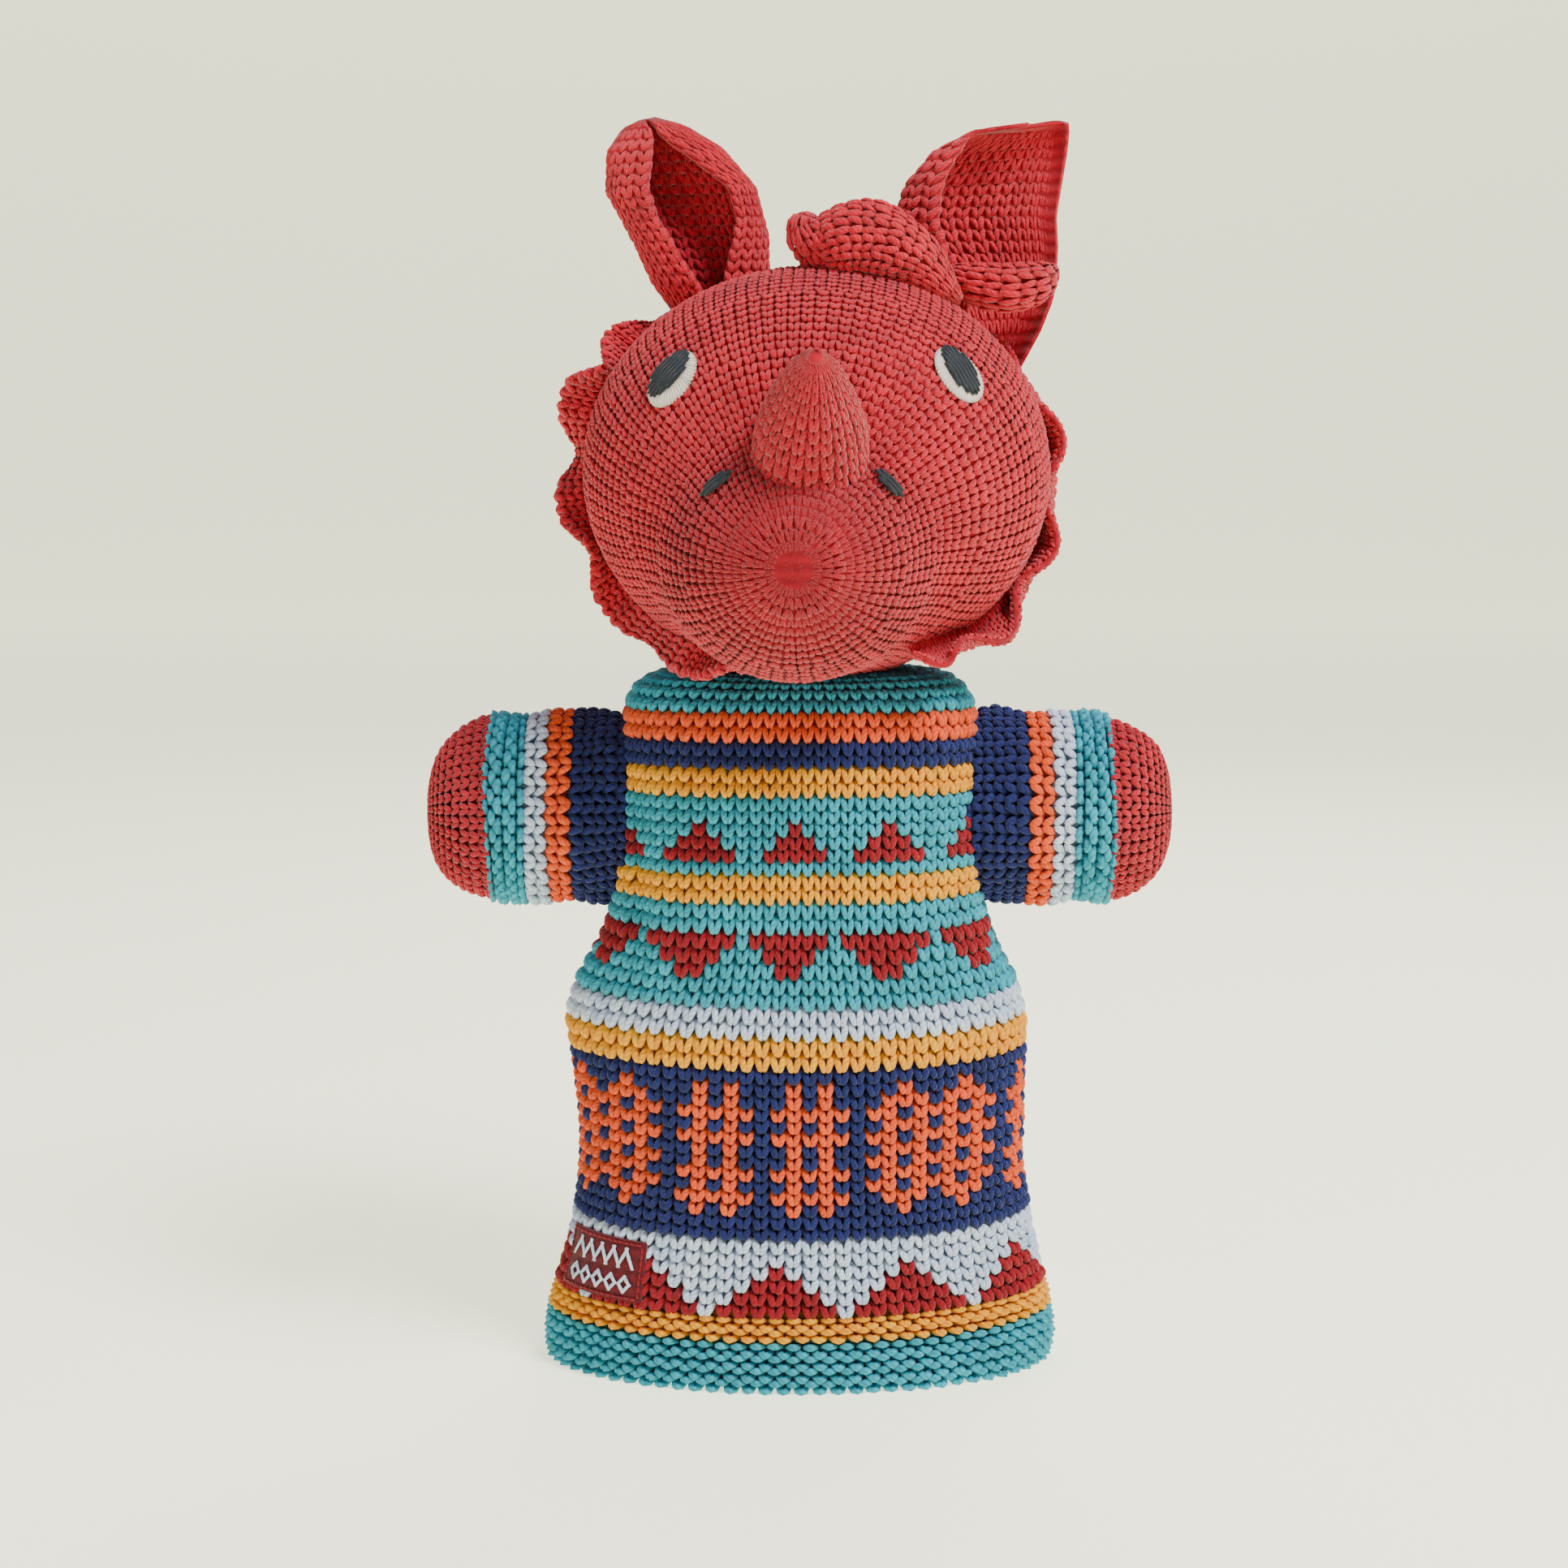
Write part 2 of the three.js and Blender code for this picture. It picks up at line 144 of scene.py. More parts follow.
class Shader:
    """A material's node tree, with one method that adds any node."""

    def __init__(self, name: str) -> None:
        """Starts an empty material of that name."""
        self.material = bpy.data.materials.new(name)
        self.material.use_nodes = True
        self.tree = self.material.node_tree
        self.tree.nodes.clear()

    def add(self, kind: str, settings: Optional[dict] = None, **inputs: object) -> bpy.types.Node:
        """Adds a node.

        Args:
            kind: The node's type without its ShaderNode prefix.
            settings: Attributes that are set first; stops are a ramp's (place, colour) pairs.
            inputs: Values or Terms or sockets by input name, with _ for a space.

        Returns:
            The new node.
        """
        node = self.tree.nodes.new(f"ShaderNode{kind}")
        for key, value in (settings or {}).items():
            if key == "stops":
                for stop, (place, colour) in zip(node.color_ramp.elements, value):
                    stop.position = place
                    stop.color = colour
            else:
                setattr(node, key, value)
        for key, value in inputs.items():
            plug = node.inputs[key.replace("_", " ")]
            if isinstance(value, Term):
                self.tree.links.new(value.socket, plug)
            elif isinstance(value, bpy.types.NodeSocket):
                self.tree.links.new(value, plug)
            else:
                plug.default_value = value
        return node

    def term(self, socket: bpy.types.NodeSocket) -> Term:
        """Wraps a socket for arithmetic."""
        return Term(self.tree, socket)

    def mixed(self, blend: str, share: object, low: object, high: object) -> bpy.types.NodeSocket:
        """Mixes two colours.

        Args:
            blend: The blend mode.
            share: How much of the second one, a number or a Term.
            low: The first colour or socket.
            high: The second colour or socket.

        Returns:
            The mixed colour's socket.
        """
        node = self.tree.nodes.new("ShaderNodeMix")
        node.data_type = "RGBA"
        node.blend_type = blend
        plugs = [node.inputs[0], node.inputs[6], node.inputs[7]]
        for plug, value in zip(plugs, (share, low, high)):
            if isinstance(value, Term):
                self.tree.links.new(value.socket, plug)
            elif isinstance(value, bpy.types.NodeSocket):
                self.tree.links.new(value, plug)
            else:
                plug.default_value = value
        return node.outputs[2]

    def close(self, surface: bpy.types.Node) -> bpy.types.Material:
        """Joins the surface to the output and returns the material."""
        output = self.tree.nodes.new("ShaderNodeOutputMaterial")
        self.tree.links.new(surface.outputs[0], output.inputs[0])
        return self.material


@dataclass(frozen=True)
class YarnFinish:
    """Spun yarn: plies wind round it, its fibres are fuzzy, and its dye is a little uneven."""

    name: str
    twist: float = 5.0
    fuzz: float = 0.13
    mottle: float = 0.28
    bloom: float = 0.05
    roughness: float = 0.86

    def make(self) -> bpy.types.Material:
        """Builds the material."""
        shader = Shader(self.name)
        place = shader.add("TexCoord").outputs["Object"]
        dye = shader.add("Attribute", {"attribute_name": "Dye"}).outputs["Color"]
        turn = shader.add("SeparateXYZ", Vector=shader.add("UVMap", {"uv_map": "Yarn"}).outputs[0])
        along, round_it = shader.term(turn.outputs[0]), shader.term(turn.outputs[1])
        ply = ((along * self.twist + round_it * 3.0) * (2 * math.pi)).sine() * 0.5 + 0.5
        cloud = shader.term(shader.add("TexNoise", Vector=place, Scale=90.0, Detail=4.0).outputs[0])
        fibre = shader.term(shader.add(
            "TexNoise", Vector=place, Scale=2600.0, Detail=5.0, Roughness=0.7).outputs[0])
        fleck = shader.term(shader.add("TexNoise", Vector=place, Scale=900.0, Detail=3.0).outputs[0])
        # Painted shade in the grooves between the plies: the ply stripes darken the dye; the flecks mixed in
        # are random tone.
        dark = shader.mixed("MULTIPLY", 1.0, dye, (0.62, 0.56, 0.6, 1))
        shaded = shader.mixed("MIX", ply * 0.55 + fleck * 0.45, dark, dye)
        uneven = shader.mixed("OVERLAY", self.mottle, shaded, shader.add(
            "ValToRGB", {"stops": [(0.3, (0.25, 0.25, 0.25, 1)), (0.7, (0.75, 0.75, 0.75, 1))]},
            Fac=cloud).outputs[0])
        pale = shader.mixed("SCREEN", self.bloom, uneven, shader.add(
            "ValToRGB", {"stops": [(0.52, (0, 0, 0, 1)), (0.78, (0.75, 0.68, 0.7, 1))]},
            Fac=fibre).outputs[0])
        relief = ply * 0.6 + fibre * 0.9
        bump = shader.add("Bump", Strength=0.55, Distance=0.00035, Height=relief)
        surface = shader.add(
            "BsdfPrincipled", Base_Color=pale, Roughness=self.roughness, Sheen_Weight=self.fuzz,
            Sheen_Roughness=0.45, Specular_IOR_Level=0.25, Normal=bump.outputs[0])
        return shader.close(surface)


@dataclass(frozen=True)
class LiningFinish:
    """The cloth behind the stitches, ribbed across like the wrong side of knitting."""

    name: str
    rib: float = 0.0029

    def make(self) -> bpy.types.Material:
        """Builds the material."""
        shader = Shader(self.name)
        place = shader.add("TexCoord").outputs["Object"]
        dye = shader.add("Attribute", {"attribute_name": "Dye"}).outputs["Color"]
        height = shader.term(shader.add("SeparateXYZ", Vector=place).outputs[2])
        ribs = (height * (2 * math.pi / self.rib)).sine() * 0.5 + 0.5
        grain = shader.term(shader.add("TexNoise", Vector=place, Scale=1400.0, Detail=4.0).outputs[0])
        # Painted shade between the ribs: the rib stripes darken the dye; the grain mixed in is random tone.
        tone = shader.mixed("MIX", ribs * 0.4 + grain * 0.6,
                            shader.mixed("MULTIPLY", 1.0, dye, (0.4, 0.36, 0.4, 1)), dye)
        bump = shader.add("Bump", Strength=0.6, Distance=0.0006, Height=ribs * 0.7 + grain * 0.5)
        surface = shader.add("BsdfPrincipled", Base_Color=tone, Roughness=0.95, Sheen_Weight=0.2,
                             Specular_IOR_Level=0.2, Normal=bump.outputs[0])
        return shader.close(surface)


# ---- surfaces read in stitches --------------------------------------------------------------------


class Surface:
    """A smooth surface read in stitches. Seen from outside, ``across`` runs right and ``along`` runs up."""

    def point(self, across: ArrayF, along: ArrayF) -> ArrayF:
        """The points at these columns and rows, in millimetres."""
        raise NotImplementedError

    def spread(self, across: ArrayF, along: ArrayF) -> tuple[ArrayF, ArrayF, ArrayF, ArrayF]:
        """Reads the surface with its directions.

        Args:
            across: Columns.
            along: Rows.

        Returns:
            The points, the unit normals, the width of a column and the height of a row there.
        """
        step = 0.02
        right = (self.point(across + step, along) - self.point(across - step, along)) / (2 * step)
        up = (self.point(across, along + step) - self.point(across, along - step)) / (2 * step)
        normal = np.cross(right, up)
        normal /= np.maximum(np.linalg.norm(normal, axis=-1, keepdims=True), 1e-9)
        width = np.linalg.norm(right, axis=-1)
        return self.point(across, along), normal, width, np.linalg.norm(up, axis=-1)


def smooth(low: float, high: float, value: ArrayF) -> ArrayF:
    """A smooth step from 0 at low to 1 at high."""
    share = np.clip((value - low) / (high - low), 0, 1)
    return share * share * (3 - 2 * share)


def bump(value: ArrayF, middle: float, reach: float) -> ArrayF:
    """A soft hump, 1 at its middle and about 0 past its reach."""
    return np.exp(-(((value - middle) / reach) ** 2))


def stack(x: ArrayF, y: ArrayF, z: ArrayF) -> ArrayF:
    """Joins coordinates into points."""
    return np.stack(np.broadcast_arrays(x, y, z), axis=-1)


@dataclass(frozen=True)
class Wear:
    """A bulge that use has left in the gown, or a crease where it goes in.

    Attributes:
        out: How far the cloth stands out, in millimetres.
        angle: Where it lies round the gown, in radians.
        wide: How far it reaches round the gown, in radians.
        up: Its height, in millimetres.
        tall: How far it reaches up and down, in millimetres.
    """

    out: float
    angle: float
    wide: float
    up: float
    tall: float

    def at(self, angle: ArrayF, up: ArrayF) -> ArrayF:
        """How far the cloth stands out there."""
        return self.out * bump(angle, self.angle, self.wide) * bump(up, self.up, self.tall)


@dataclass
class GarmentSurface(Surface):
    """The gown's outside, from the hem to the neck, with the sag and creases of worn cloth.

    Each station is a distance up the cloth, the height there, and half the width and depth. Each course is
    a row and how far up the cloth it lies.
    """

    axis_y: float
    courses: Sequence[tuple[float, float]]
    columns: int = 72
    front: float = 16.9
    stations: Sequence[tuple[float, float, float, float]] = (
        (0.0, 0.0, 56.0, 30.4), (3.0, 3.0, 56.8, 31.0), (8.0, 8.0, 56.8, 31.0),
        (11.8, 11.8, 56.0, 30.7), (17.2, 17.2, 54.6, 30.2), (28.6, 28.6, 52.0, 29.4),
        (47.7, 47.7, 49.6, 28.8), (64.0, 64.0, 49.8, 29.1), (80.0, 80.0, 50.0, 29.8),
        (88.0, 88.0, 47.6, 29.8), (97.0, 97.0, 42.6, 29.8), (106.0, 106.0, 40.0, 29.6),
        (120.0, 120.0, 39.4, 29.6), (134.0, 134.0, 39.4, 29.6), (146.0, 146.0, 39.2, 29.0),
        (152.0, 151.8, 38.4, 27.8), (156.5, 155.6, 36.2, 26.2), (162.0, 157.6, 31.4, 23.6),
        (167.5, 158.4, 25.8, 20.4), (173.5, 158.8, 19.8, 17.4))
    wears: Sequence[Wear] = (
        Wear(1.6, -math.pi + 0.35, 0.5, 82, 13), Wear(-2.0, -2.50, 0.12, 112, 18),
        Wear(-1.2, -0.75, 0.16, 108, 14), Wear(-1.1, -1.9, 0.3, 96, 10))

    def __post_init__(self) -> None:
        """Works out where equal steps of cloth lie round an oval, and smooths the stations."""
        angle = np.linspace(-math.pi, math.pi, 721)
        span = np.hypot(50.0 * np.sin(angle), 29.0 * np.cos(angle))
        length = np.concatenate([[0], np.cumsum((span[1:] + span[:-1]) / 2)])
        self._share = length / length[-1]
        self._angle = angle
        up = np.array([s[0] for s in self.stations])
        fine = np.linspace(up[0], up[-1], 400)
        kernel = np.ones(13) / 13
        self._fine = fine
        self._read = []
        for k in (1, 2, 3):
            raw = np.interp(fine, up, [s[k] for s in self.stations])
            padded = np.concatenate([raw[0] - (raw[1] - raw[0]) * np.arange(6, 0, -1), raw,
                                     raw[-1] + (raw[-1] - raw[-2]) * np.arange(1, 7)])
            self._read.append(np.convolve(padded, kernel, mode="valid"))

    def angle(self, across: ArrayF) -> ArrayF:
        """The angle round the gown's axis at a column."""
        share = (np.asarray(across) - self.front) / self.columns + 0.25
        turns = np.floor(share)
        return np.interp(share - turns, self._share, self._angle)

    def climb(self, along: ArrayF) -> ArrayF:
        """How far up the cloth a row lies, in millimetres from the hem's edge."""
        rows, ups = np.array(self.courses, float).T
        return np.interp(along, rows, ups)

    def point(self, across: ArrayF, along: ArrayF) -> ArrayF:
        """The points at these columns and rows, in millimetres."""
        theta, up = self.angle(across), self.climb(along)
        z, half_x, half_y = (np.interp(up, self._fine, values) for values in self._read)
        boxy = 2 + 0.9 * smooth(86, 106, z) * (1 - smooth(168, 173, up))
        corner = (np.abs(np.cos(theta)) ** boxy + np.abs(np.sin(theta)) ** boxy) ** (-1 / boxy)
        facing = np.maximum(0, -np.sin(theta))
        body = smooth(4, 30, z) * (1 - smooth(146, 156, z))
        ease = 1 + body * (0.010 * np.sin(3 * theta + 0.045 * z) + 0.012 * np.sin(2 * theta - 0.06 * z + 1.0))
        out = sum(wear.at(theta, z) for wear in self.wears)
        sag = 1.8 * facing ** 1.5 * bump(z, 66, 34) * smooth(6, 26, z)
        x = (half_x * ease * corner + out) * np.cos(theta)
        y = self.axis_y + (half_y * ease * corner + out) * np.sin(theta)
        return stack(x, y, z - sag)


# ---- stitches -------------------------------------------------------------------------------------

LEG_HALF = 0.235  # a stitch leg's half thickness, as a share of a column
BUMP_HALF = 0.29  # the same for a garter bump


@dataclass
class Loop:
    """One short length of yarn in stitch units: its corners, faces and yarn coordinates."""

    corners: ArrayF
    faces: ArrayF
    yarn: ArrayF

    @staticmethod
    def model(name: str, path: Callable[[ArrayF], ArrayF], thick: Callable[[ArrayF], ArrayF],
              sides: int = 6, rings: int = 6) -> "Loop":
        """Models a length of yarn along a path, from a ball stretched into a strand.

        Args:
            name: What the loop is called while it is made.
            path: Gives the centre (across, along, out) at shares of the length.
            thick: Gives the yarn's half thickness at shares of the length.
            sides: Faces round the yarn.
            rings: Faces along the yarn.

        Returns:
            The loop, ready to be laid on a surface.
        """
        bpy.ops.object.select_all(action="DESELECT")
        bpy.ops.mesh.primitive_uv_sphere_add(segments=sides, ring_count=rings, radius=1.0)
        strand = bpy.context.object
        strand.name = name
        bpy.ops.object.mode_set(mode="EDIT")
        bpy.ops.mesh.select_all(action="SELECT")
        bpy.ops.mesh.quads_convert_to_tris()
        bpy.ops.object.mode_set(mode="OBJECT")
        mesh = strand.data
        corners = np.array([v.co for v in mesh.vertices], float)
        faces = np.array([p.vertices for p in mesh.polygons], int)
        share = 1 - np.arccos(np.clip(corners[:, 2], -1, 1)) / math.pi
        centre = path(share)
        step = 0.01
        ahead = path(np.clip(share + step, 0, 1)) - path(np.clip(share - step, 0, 1))
        ahead /= np.linalg.norm(ahead, axis=1, keepdims=True)
        side = np.cross(ahead, [0, 0, 1.0])
        side /= np.maximum(np.linalg.norm(side, axis=1, keepdims=True), 1e-9)
        over = np.cross(side, ahead)
        radial = corners[:, :2] / np.maximum(np.linalg.norm(corners[:, :2], axis=1, keepdims=True), 1e-9)
        at_pole = np.abs(corners[:, 2]) > 0.999
        radial[at_pole] = 0
        width = thick(share)[:, None]
        placed = centre + side * radial[:, :1] * width + over * radial[:, 1:] * width
        around = np.arctan2(radial[:, 1], radial[:, 0]) / (2 * math.pi) + 0.5
        corner_yarn = np.stack([share[faces], around[faces]], axis=-1)
        low = corner_yarn[:, :, 1].min(axis=1, keepdims=True)
        wrapped = corner_yarn[:, :, 1] - low > 0.5
        corner_yarn[:, :, 1] -= wrapped
        bpy.data.objects.remove(strand)
        bpy.data.meshes.remove(mesh)
        return Loop(placed, faces, corner_yarn)


def tapered(share: ArrayF) -> ArrayF:
    """How thick yarn is along its length, from 0 to 1, with both ends drawn in."""
    return np.sin(math.pi * np.clip(0.06 + 0.88 * share, 0, 1)) ** 0.42


def arched(share: ArrayF) -> ArrayF:
    """How far a stitch's leg stands out along its length, from 0 to 1."""
    return np.sin(math.pi * np.clip(share * 0.8 + 0.12, 0, 1))


def plain_leg(side: int) -> Loop:
    """One leg of a plain stitch, rising from the middle of its column to the side."""

    def path(share: ArrayF) -> ArrayF:
        across = side * (0.07 + 0.40 * share ** 1.15)
        along = -0.12 + 1.42 * share
        out = 0.20 + 0.62 * arched(share) - 0.62 * share
        return np.stack([across, along, out], axis=1)

    return Loop.model(f"plain_leg_{side}", path, lambda share: LEG_HALF * tapered(share))


def rib_leg(side: int) -> Loop:
    """One leg of a fine, tight stitch that leaves a groove between its column and the next."""

    def path(share: ArrayF) -> ArrayF:
        across = side * (0.11 + 0.24 * share)
        along = -0.15 + 1.38 * share
        out = 0.24 + 0.62 * arched(share) - 0.55 * share
        return np.stack([across, along, out], axis=1)

    return Loop.model(f"rib_leg_{side}", path, lambda share: LEG_HALF * tapered(share))


def purl_arc(side: int) -> Loop:
    """One bump of garter knitting: a short arc whose ends dive behind its neighbours."""

    def path(share: ArrayF) -> ArrayF:
        across = -0.42 + 0.84 * share
        along = side * (0.10 - 0.30 * (2 * share - 1) ** 2)
        out = 0.52 - 1.15 * (2 * share - 1) ** 2
        return np.stack([across, along, out], axis=1)

    return Loop.model(f"purl_arc_{side}", path, lambda share: BUMP_HALF * tapered(share))


def stitch_grid(columns: int, rows: ArrayF, shift: float = 0.5, rise: float = 0.0) -> ArrayF:
    """The places of stitches in a plain grid.

    Args:
        columns: How many columns it has.
        rows: The rows.
        shift: How far across its column each stitch lies.
        rise: How far above its row each stitch lies.

    Returns:
        The column and row of each stitch.
    """
    column, row = np.meshgrid(np.arange(columns), rows)
    return np.stack([column.ravel() + shift, row.ravel() + rise], axis=1).astype(float)


def one_dye(yarn: Yarn, share: float = 1.0) -> Callable[[ArrayF, ArrayF], ArrayF]:
    """Dyes cloth the same everywhere, in a yarn's colour at a share of its strength."""
    return lambda across, along: np.ones((*across.shape, 3)) * np.array(yarn.value) * share


def dyed(yarn: Yarn, places: ArrayF) -> ArrayF:
    """One yarn's colour for each place."""
    return np.tile(yarn.value, (len(places), 1))


class Knitter:
    """Lays loops of yarn on surfaces and turns them into meshes."""

    def __init__(self, seed: int = 7) -> None:
        """Models the loops and starts the hand's small unevenness, which the seed settles."""
        self.plain = [plain_leg(-1), plain_leg(1)]
        self.fine = [rib_leg(-1), rib_leg(1)]
        self.purl = [purl_arc(-1), purl_arc(1)]
        self.hand = np.random.default_rng(seed)

    def lay(self, name: str, surface: Surface, places: ArrayF, dyes: ArrayF, loops: Sequence[Loop],
            finish: bpy.types.Material, lift: float = 1.0, gauge: Optional[float] = None) -> bpy.types.Object:
        """Lays each loop at each place.

        Args:
            name: The piece's name.
            surface: What the loops lie on.
            places: Column and row of each stitch, one row of the array for each.
            dyes: The linear colour of each stitch.
            loops: What is laid at each place.
            finish: The yarn's material.
            lift: How far the yarn's relief stands out, as a share of a stitch's width.
            gauge: The stitch width that the yarn's thickness follows at most, in millimetres.

        Returns:
            The finished piece, not yet riding on a body.
        """
        batches, faces, yarn, colours, start = [], [], [], [], 0
        for loop in loops:
            count = len(places)
            jitter = self.hand.normal(0, 1, (count, 4))
            swell = 1 + 0.03 * jitter[:, :1]
            across = places[:, :1] + loop.corners[None, :, 0] * swell + 0.025 * jitter[:, 1:2]
            along = places[:, 1:2] + loop.corners[None, :, 1] + 0.03 * jitter[:, 2:3]
            spot, normal, width, _ = surface.spread(across, along)
            size = width if gauge is None else np.minimum(width, gauge)
            out = loop.corners[None, :, 2] * (1 + 0.05 * jitter[:, 3:4]) * size * lift
            batches.append((spot + normal * out[..., None]).reshape(-1, 3))
            corners = loop.corners.shape[0]
            offsets = start + corners * np.arange(count)[:, None, None]
            faces.append((loop.faces[None] + offsets).reshape(-1, 3))
            start += corners * count
            yarn.append(np.tile(loop.yarn[None], (count, 1, 1, 1)).reshape(-1, 2))
            tone = 1 + 0.07 * self.hand.normal(0, 1, (count, 1))
            colours.append(np.repeat(np.clip(dyes * tone, 0, 1), corners, axis=0))
        return mesh_piece(name, np.concatenate(batches), np.concatenate(faces), finish,
                          np.concatenate(colours), np.concatenate(yarn))

    def lining(self, name: str, surface: Surface, columns: ArrayF, rows: ArrayF,
               dye: Callable[[ArrayF, ArrayF], ArrayF], finish: bpy.types.Material, outer: float = -0.3,
               inner: float = -1.8, closed_round: bool = True) -> bpy.types.Object:
        """Makes the cloth that backs the stitches, a wall with an outside, an inside and closed rims.

        Args:
            name: The piece's name.
            surface: What the wall follows.
            columns: Where its corners lie across.
            rows: Where its corners lie along.
            dye: Gives the colour at columns and rows.
            finish: The lining's material.
            outer: How far the outside lies over the surface, in millimetres.
            inner: How far the inside lies over the surface, in millimetres.
            closed_round: Whether the last column joins the first.

        Returns:
            The finished piece.
        """
        across, along = np.meshgrid(columns, rows)
        spot, normal, _, _ = surface.spread(across, along)
        layers = [spot + normal * outer, spot + normal * inner]
        tall, wide = across.shape
        corners = np.concatenate([layer.reshape(-1, 3) for layer in layers])
        quads = []
        steps = wide if closed_round else wide - 1

        def index(layer: int, row: ArrayF, column: ArrayF) -> ArrayF:
            return layer * tall * wide + row * wide + column % wide

        row, column = np.meshgrid(np.arange(tall - 1), np.arange(steps), indexing="ij")
        for layer in (0, 1):
            ring = [index(layer, row, column), index(layer, row, column + 1),
                    index(layer, row + 1, column + 1), index(layer, row + 1, column)]
            quads.append(np.stack(ring if layer == 0 else ring[::-1], axis=-1).reshape(-1, 4))
        edge = np.arange(steps)
        for end, turned in ((0, False), (tall - 1, True)):
            end_row = np.full_like(edge, end)
            ring = [index(0, end_row, edge), index(1, end_row, edge),
                    index(1, end_row, edge + 1), index(0, end_row, edge + 1)]
            quads.append(np.stack(ring[::-1] if turned else ring, axis=-1).reshape(-1, 4))
        if not closed_round:
            edge = np.arange(tall - 1)
            for end, turned in ((0, True), (wide - 1, False)):
                side = np.full_like(edge, end)
                ring = [index(0, edge, side), index(1, edge, side),
                        index(1, edge + 1, side), index(0, edge + 1, side)]
                quads.append(np.stack(ring[::-1] if turned else ring, axis=-1).reshape(-1, 4))
        colour = dye(across, along).reshape(-1, 3)
        colours = np.concatenate([colour, colour])
        return mesh_piece(name, corners, np.concatenate(quads), finish, colours, None)

    def both_faces(self, name: str, surface: Surface, columns: int, rows: int, dye: Yarn,
                   finish: bpy.types.Material, lift: float, gauge: float) -> bpy.types.Object:
        """Lays plain stitches on both faces of a sheet that is read from -columns/2 to columns/2.

        Args:
            name: The piece's name.
            surface: The sheet.
            columns: How many columns it has.
            rows: How many rows it has.
            dye: Its yarn.
            finish: The yarn's material.
            lift: How far the yarn stands out, as a share of a stitch's width.
            gauge: The widest stitch that the yarn's thickness follows, in millimetres.

        Returns:
            The finished piece.
        """
        column, row = np.meshgrid(np.arange(columns) + 0.5 - columns / 2, np.arange(rows) + 0.1)
        places = np.stack([column.ravel(), row.ravel()], axis=1)
        dyes = dyed(dye, places)
        parts = [self.lay(f"{name}_{k}", face, places, dyes, self.plain, finish, lift, gauge)
                 for k, face in enumerate((surface, Flipped(surface)))]
        return joined(name, parts)

    def stuffing(self, name: str, surface: Surface, columns: int, rows: ArrayF, inset: float,
                 finish: bpy.types.Material) -> bpy.types.Object:
        """Makes a closed, slightly lumpy mass of filling inside a round surface.

        Args:
            name: The piece's name.
            surface: What it fills.
            columns: How many columns go round the surface.
            rows: Where its rings lie along the surface.
            inset: How far it stays inside the surface, in millimetres.
            finish: The filling's material.

        Returns:
            The finished piece.
        """
        across, along = np.meshgrid(np.linspace(0, columns, 40, endpoint=False), rows)
        spot, normal, _, _ = surface.spread(across, along)
        lumps = 0.6 * np.sin(across * 40 / columns * 0.9) * np.cos(along * 1.3)
        ring = spot - normal * (inset + lumps)[..., None]
        tall, wide = across.shape
        corners = np.concatenate([ring.reshape(-1, 3), ring[0].mean(0)[None], ring[-1].mean(0)[None]])
        row, column = np.meshgrid(np.arange(tall - 1), np.arange(wide), indexing="ij")
        low, after = row * wide + column, row * wide + (column + 1) % wide
        sides = np.concatenate([np.stack([low, after, after + wide], -1).reshape(-1, 3),
                                np.stack([low, after + wide, low + wide], -1).reshape(-1, 3)])
        edge = np.arange(wide)
        first, last, top = tall * wide, tall * wide + 1, (tall - 1) * wide
        caps = np.concatenate([
            np.stack([np.full(wide, first), (edge + 1) % wide, edge], -1),
            np.stack([np.full(wide, last), top + edge, top + (edge + 1) % wide], -1)])
        dyes = dyed(Yarn.FILLING, corners)
        return mesh_piece(name, corners, np.concatenate([sides, caps]), finish, dyes, None)


def mesh_piece(name: str, corners: ArrayF, faces: ArrayF, finish: bpy.types.Material,
               colours: Optional[ArrayF], yarn: Optional[ArrayF]) -> bpy.types.Object:
    """Makes a smooth-shaded mesh object.

    Args:
        name: The piece's name.
        corners: Its corners in millimetres.
        faces: Corner numbers, with one row for each face.
        finish: Its material.
        colours: A linear colour for each corner, or None.
        yarn: Coordinates along and round the yarn for each face's corner, or None.

    Returns:
        The object, linked to the scene.
    """
    mesh = bpy.data.meshes.new(name)
    count, sides = faces.shape
    mesh.vertices.add(len(corners))
    mesh.vertices.foreach_set("co", (corners * MM).astype(np.float32).ravel())
    mesh.loops.add(count * sides)
    mesh.loops.foreach_set("vertex_index", faces.astype(np.int32).ravel())
    mesh.polygons.add(count)
    mesh.polygons.foreach_set("loop_start", (np.arange(count) * sides).astype(np.int32))
    mesh.polygons.foreach_set("loop_total", np.full(count, sides, np.int32))
    mesh.polygons.foreach_set("use_smooth", np.ones(count, bool))
    if yarn is not None:
        layer = mesh.uv_layers.new(name="Yarn")
        layer.uv.foreach_set("vector", yarn.astype(np.float32).ravel())
    if colours is not None:
        attribute = mesh.color_attributes.new("Dye", "FLOAT_COLOR", "POINT")
        filled = np.concatenate([colours, np.ones((len(colours), 1))], axis=1)
        attribute.data.foreach_set("color", filled.astype(np.float32).ravel())
    mesh.update(calc_edges=True)
    mesh.materials.append(finish)
    piece = bpy.data.objects.new(name, mesh)
    bpy.context.scene.collection.objects.link(piece)
    return piece


# ---- the gown -------------------------------------------------------------------------------------


LEAF = (".X.X.", "XXXXX", ".X.X.", "XXXXX", ".X.X.", ".X.X.", "XXXXX", ".X.X.", "XXXXX", ".X.X.", ".X.X.")
BEAD = ("..X..", ".XXX.", "XX.XX", ".XXX.", "XX.XX", ".XXX.", "XX.XX", ".XXX.", "XX.XX", ".XXX.", "..X..")


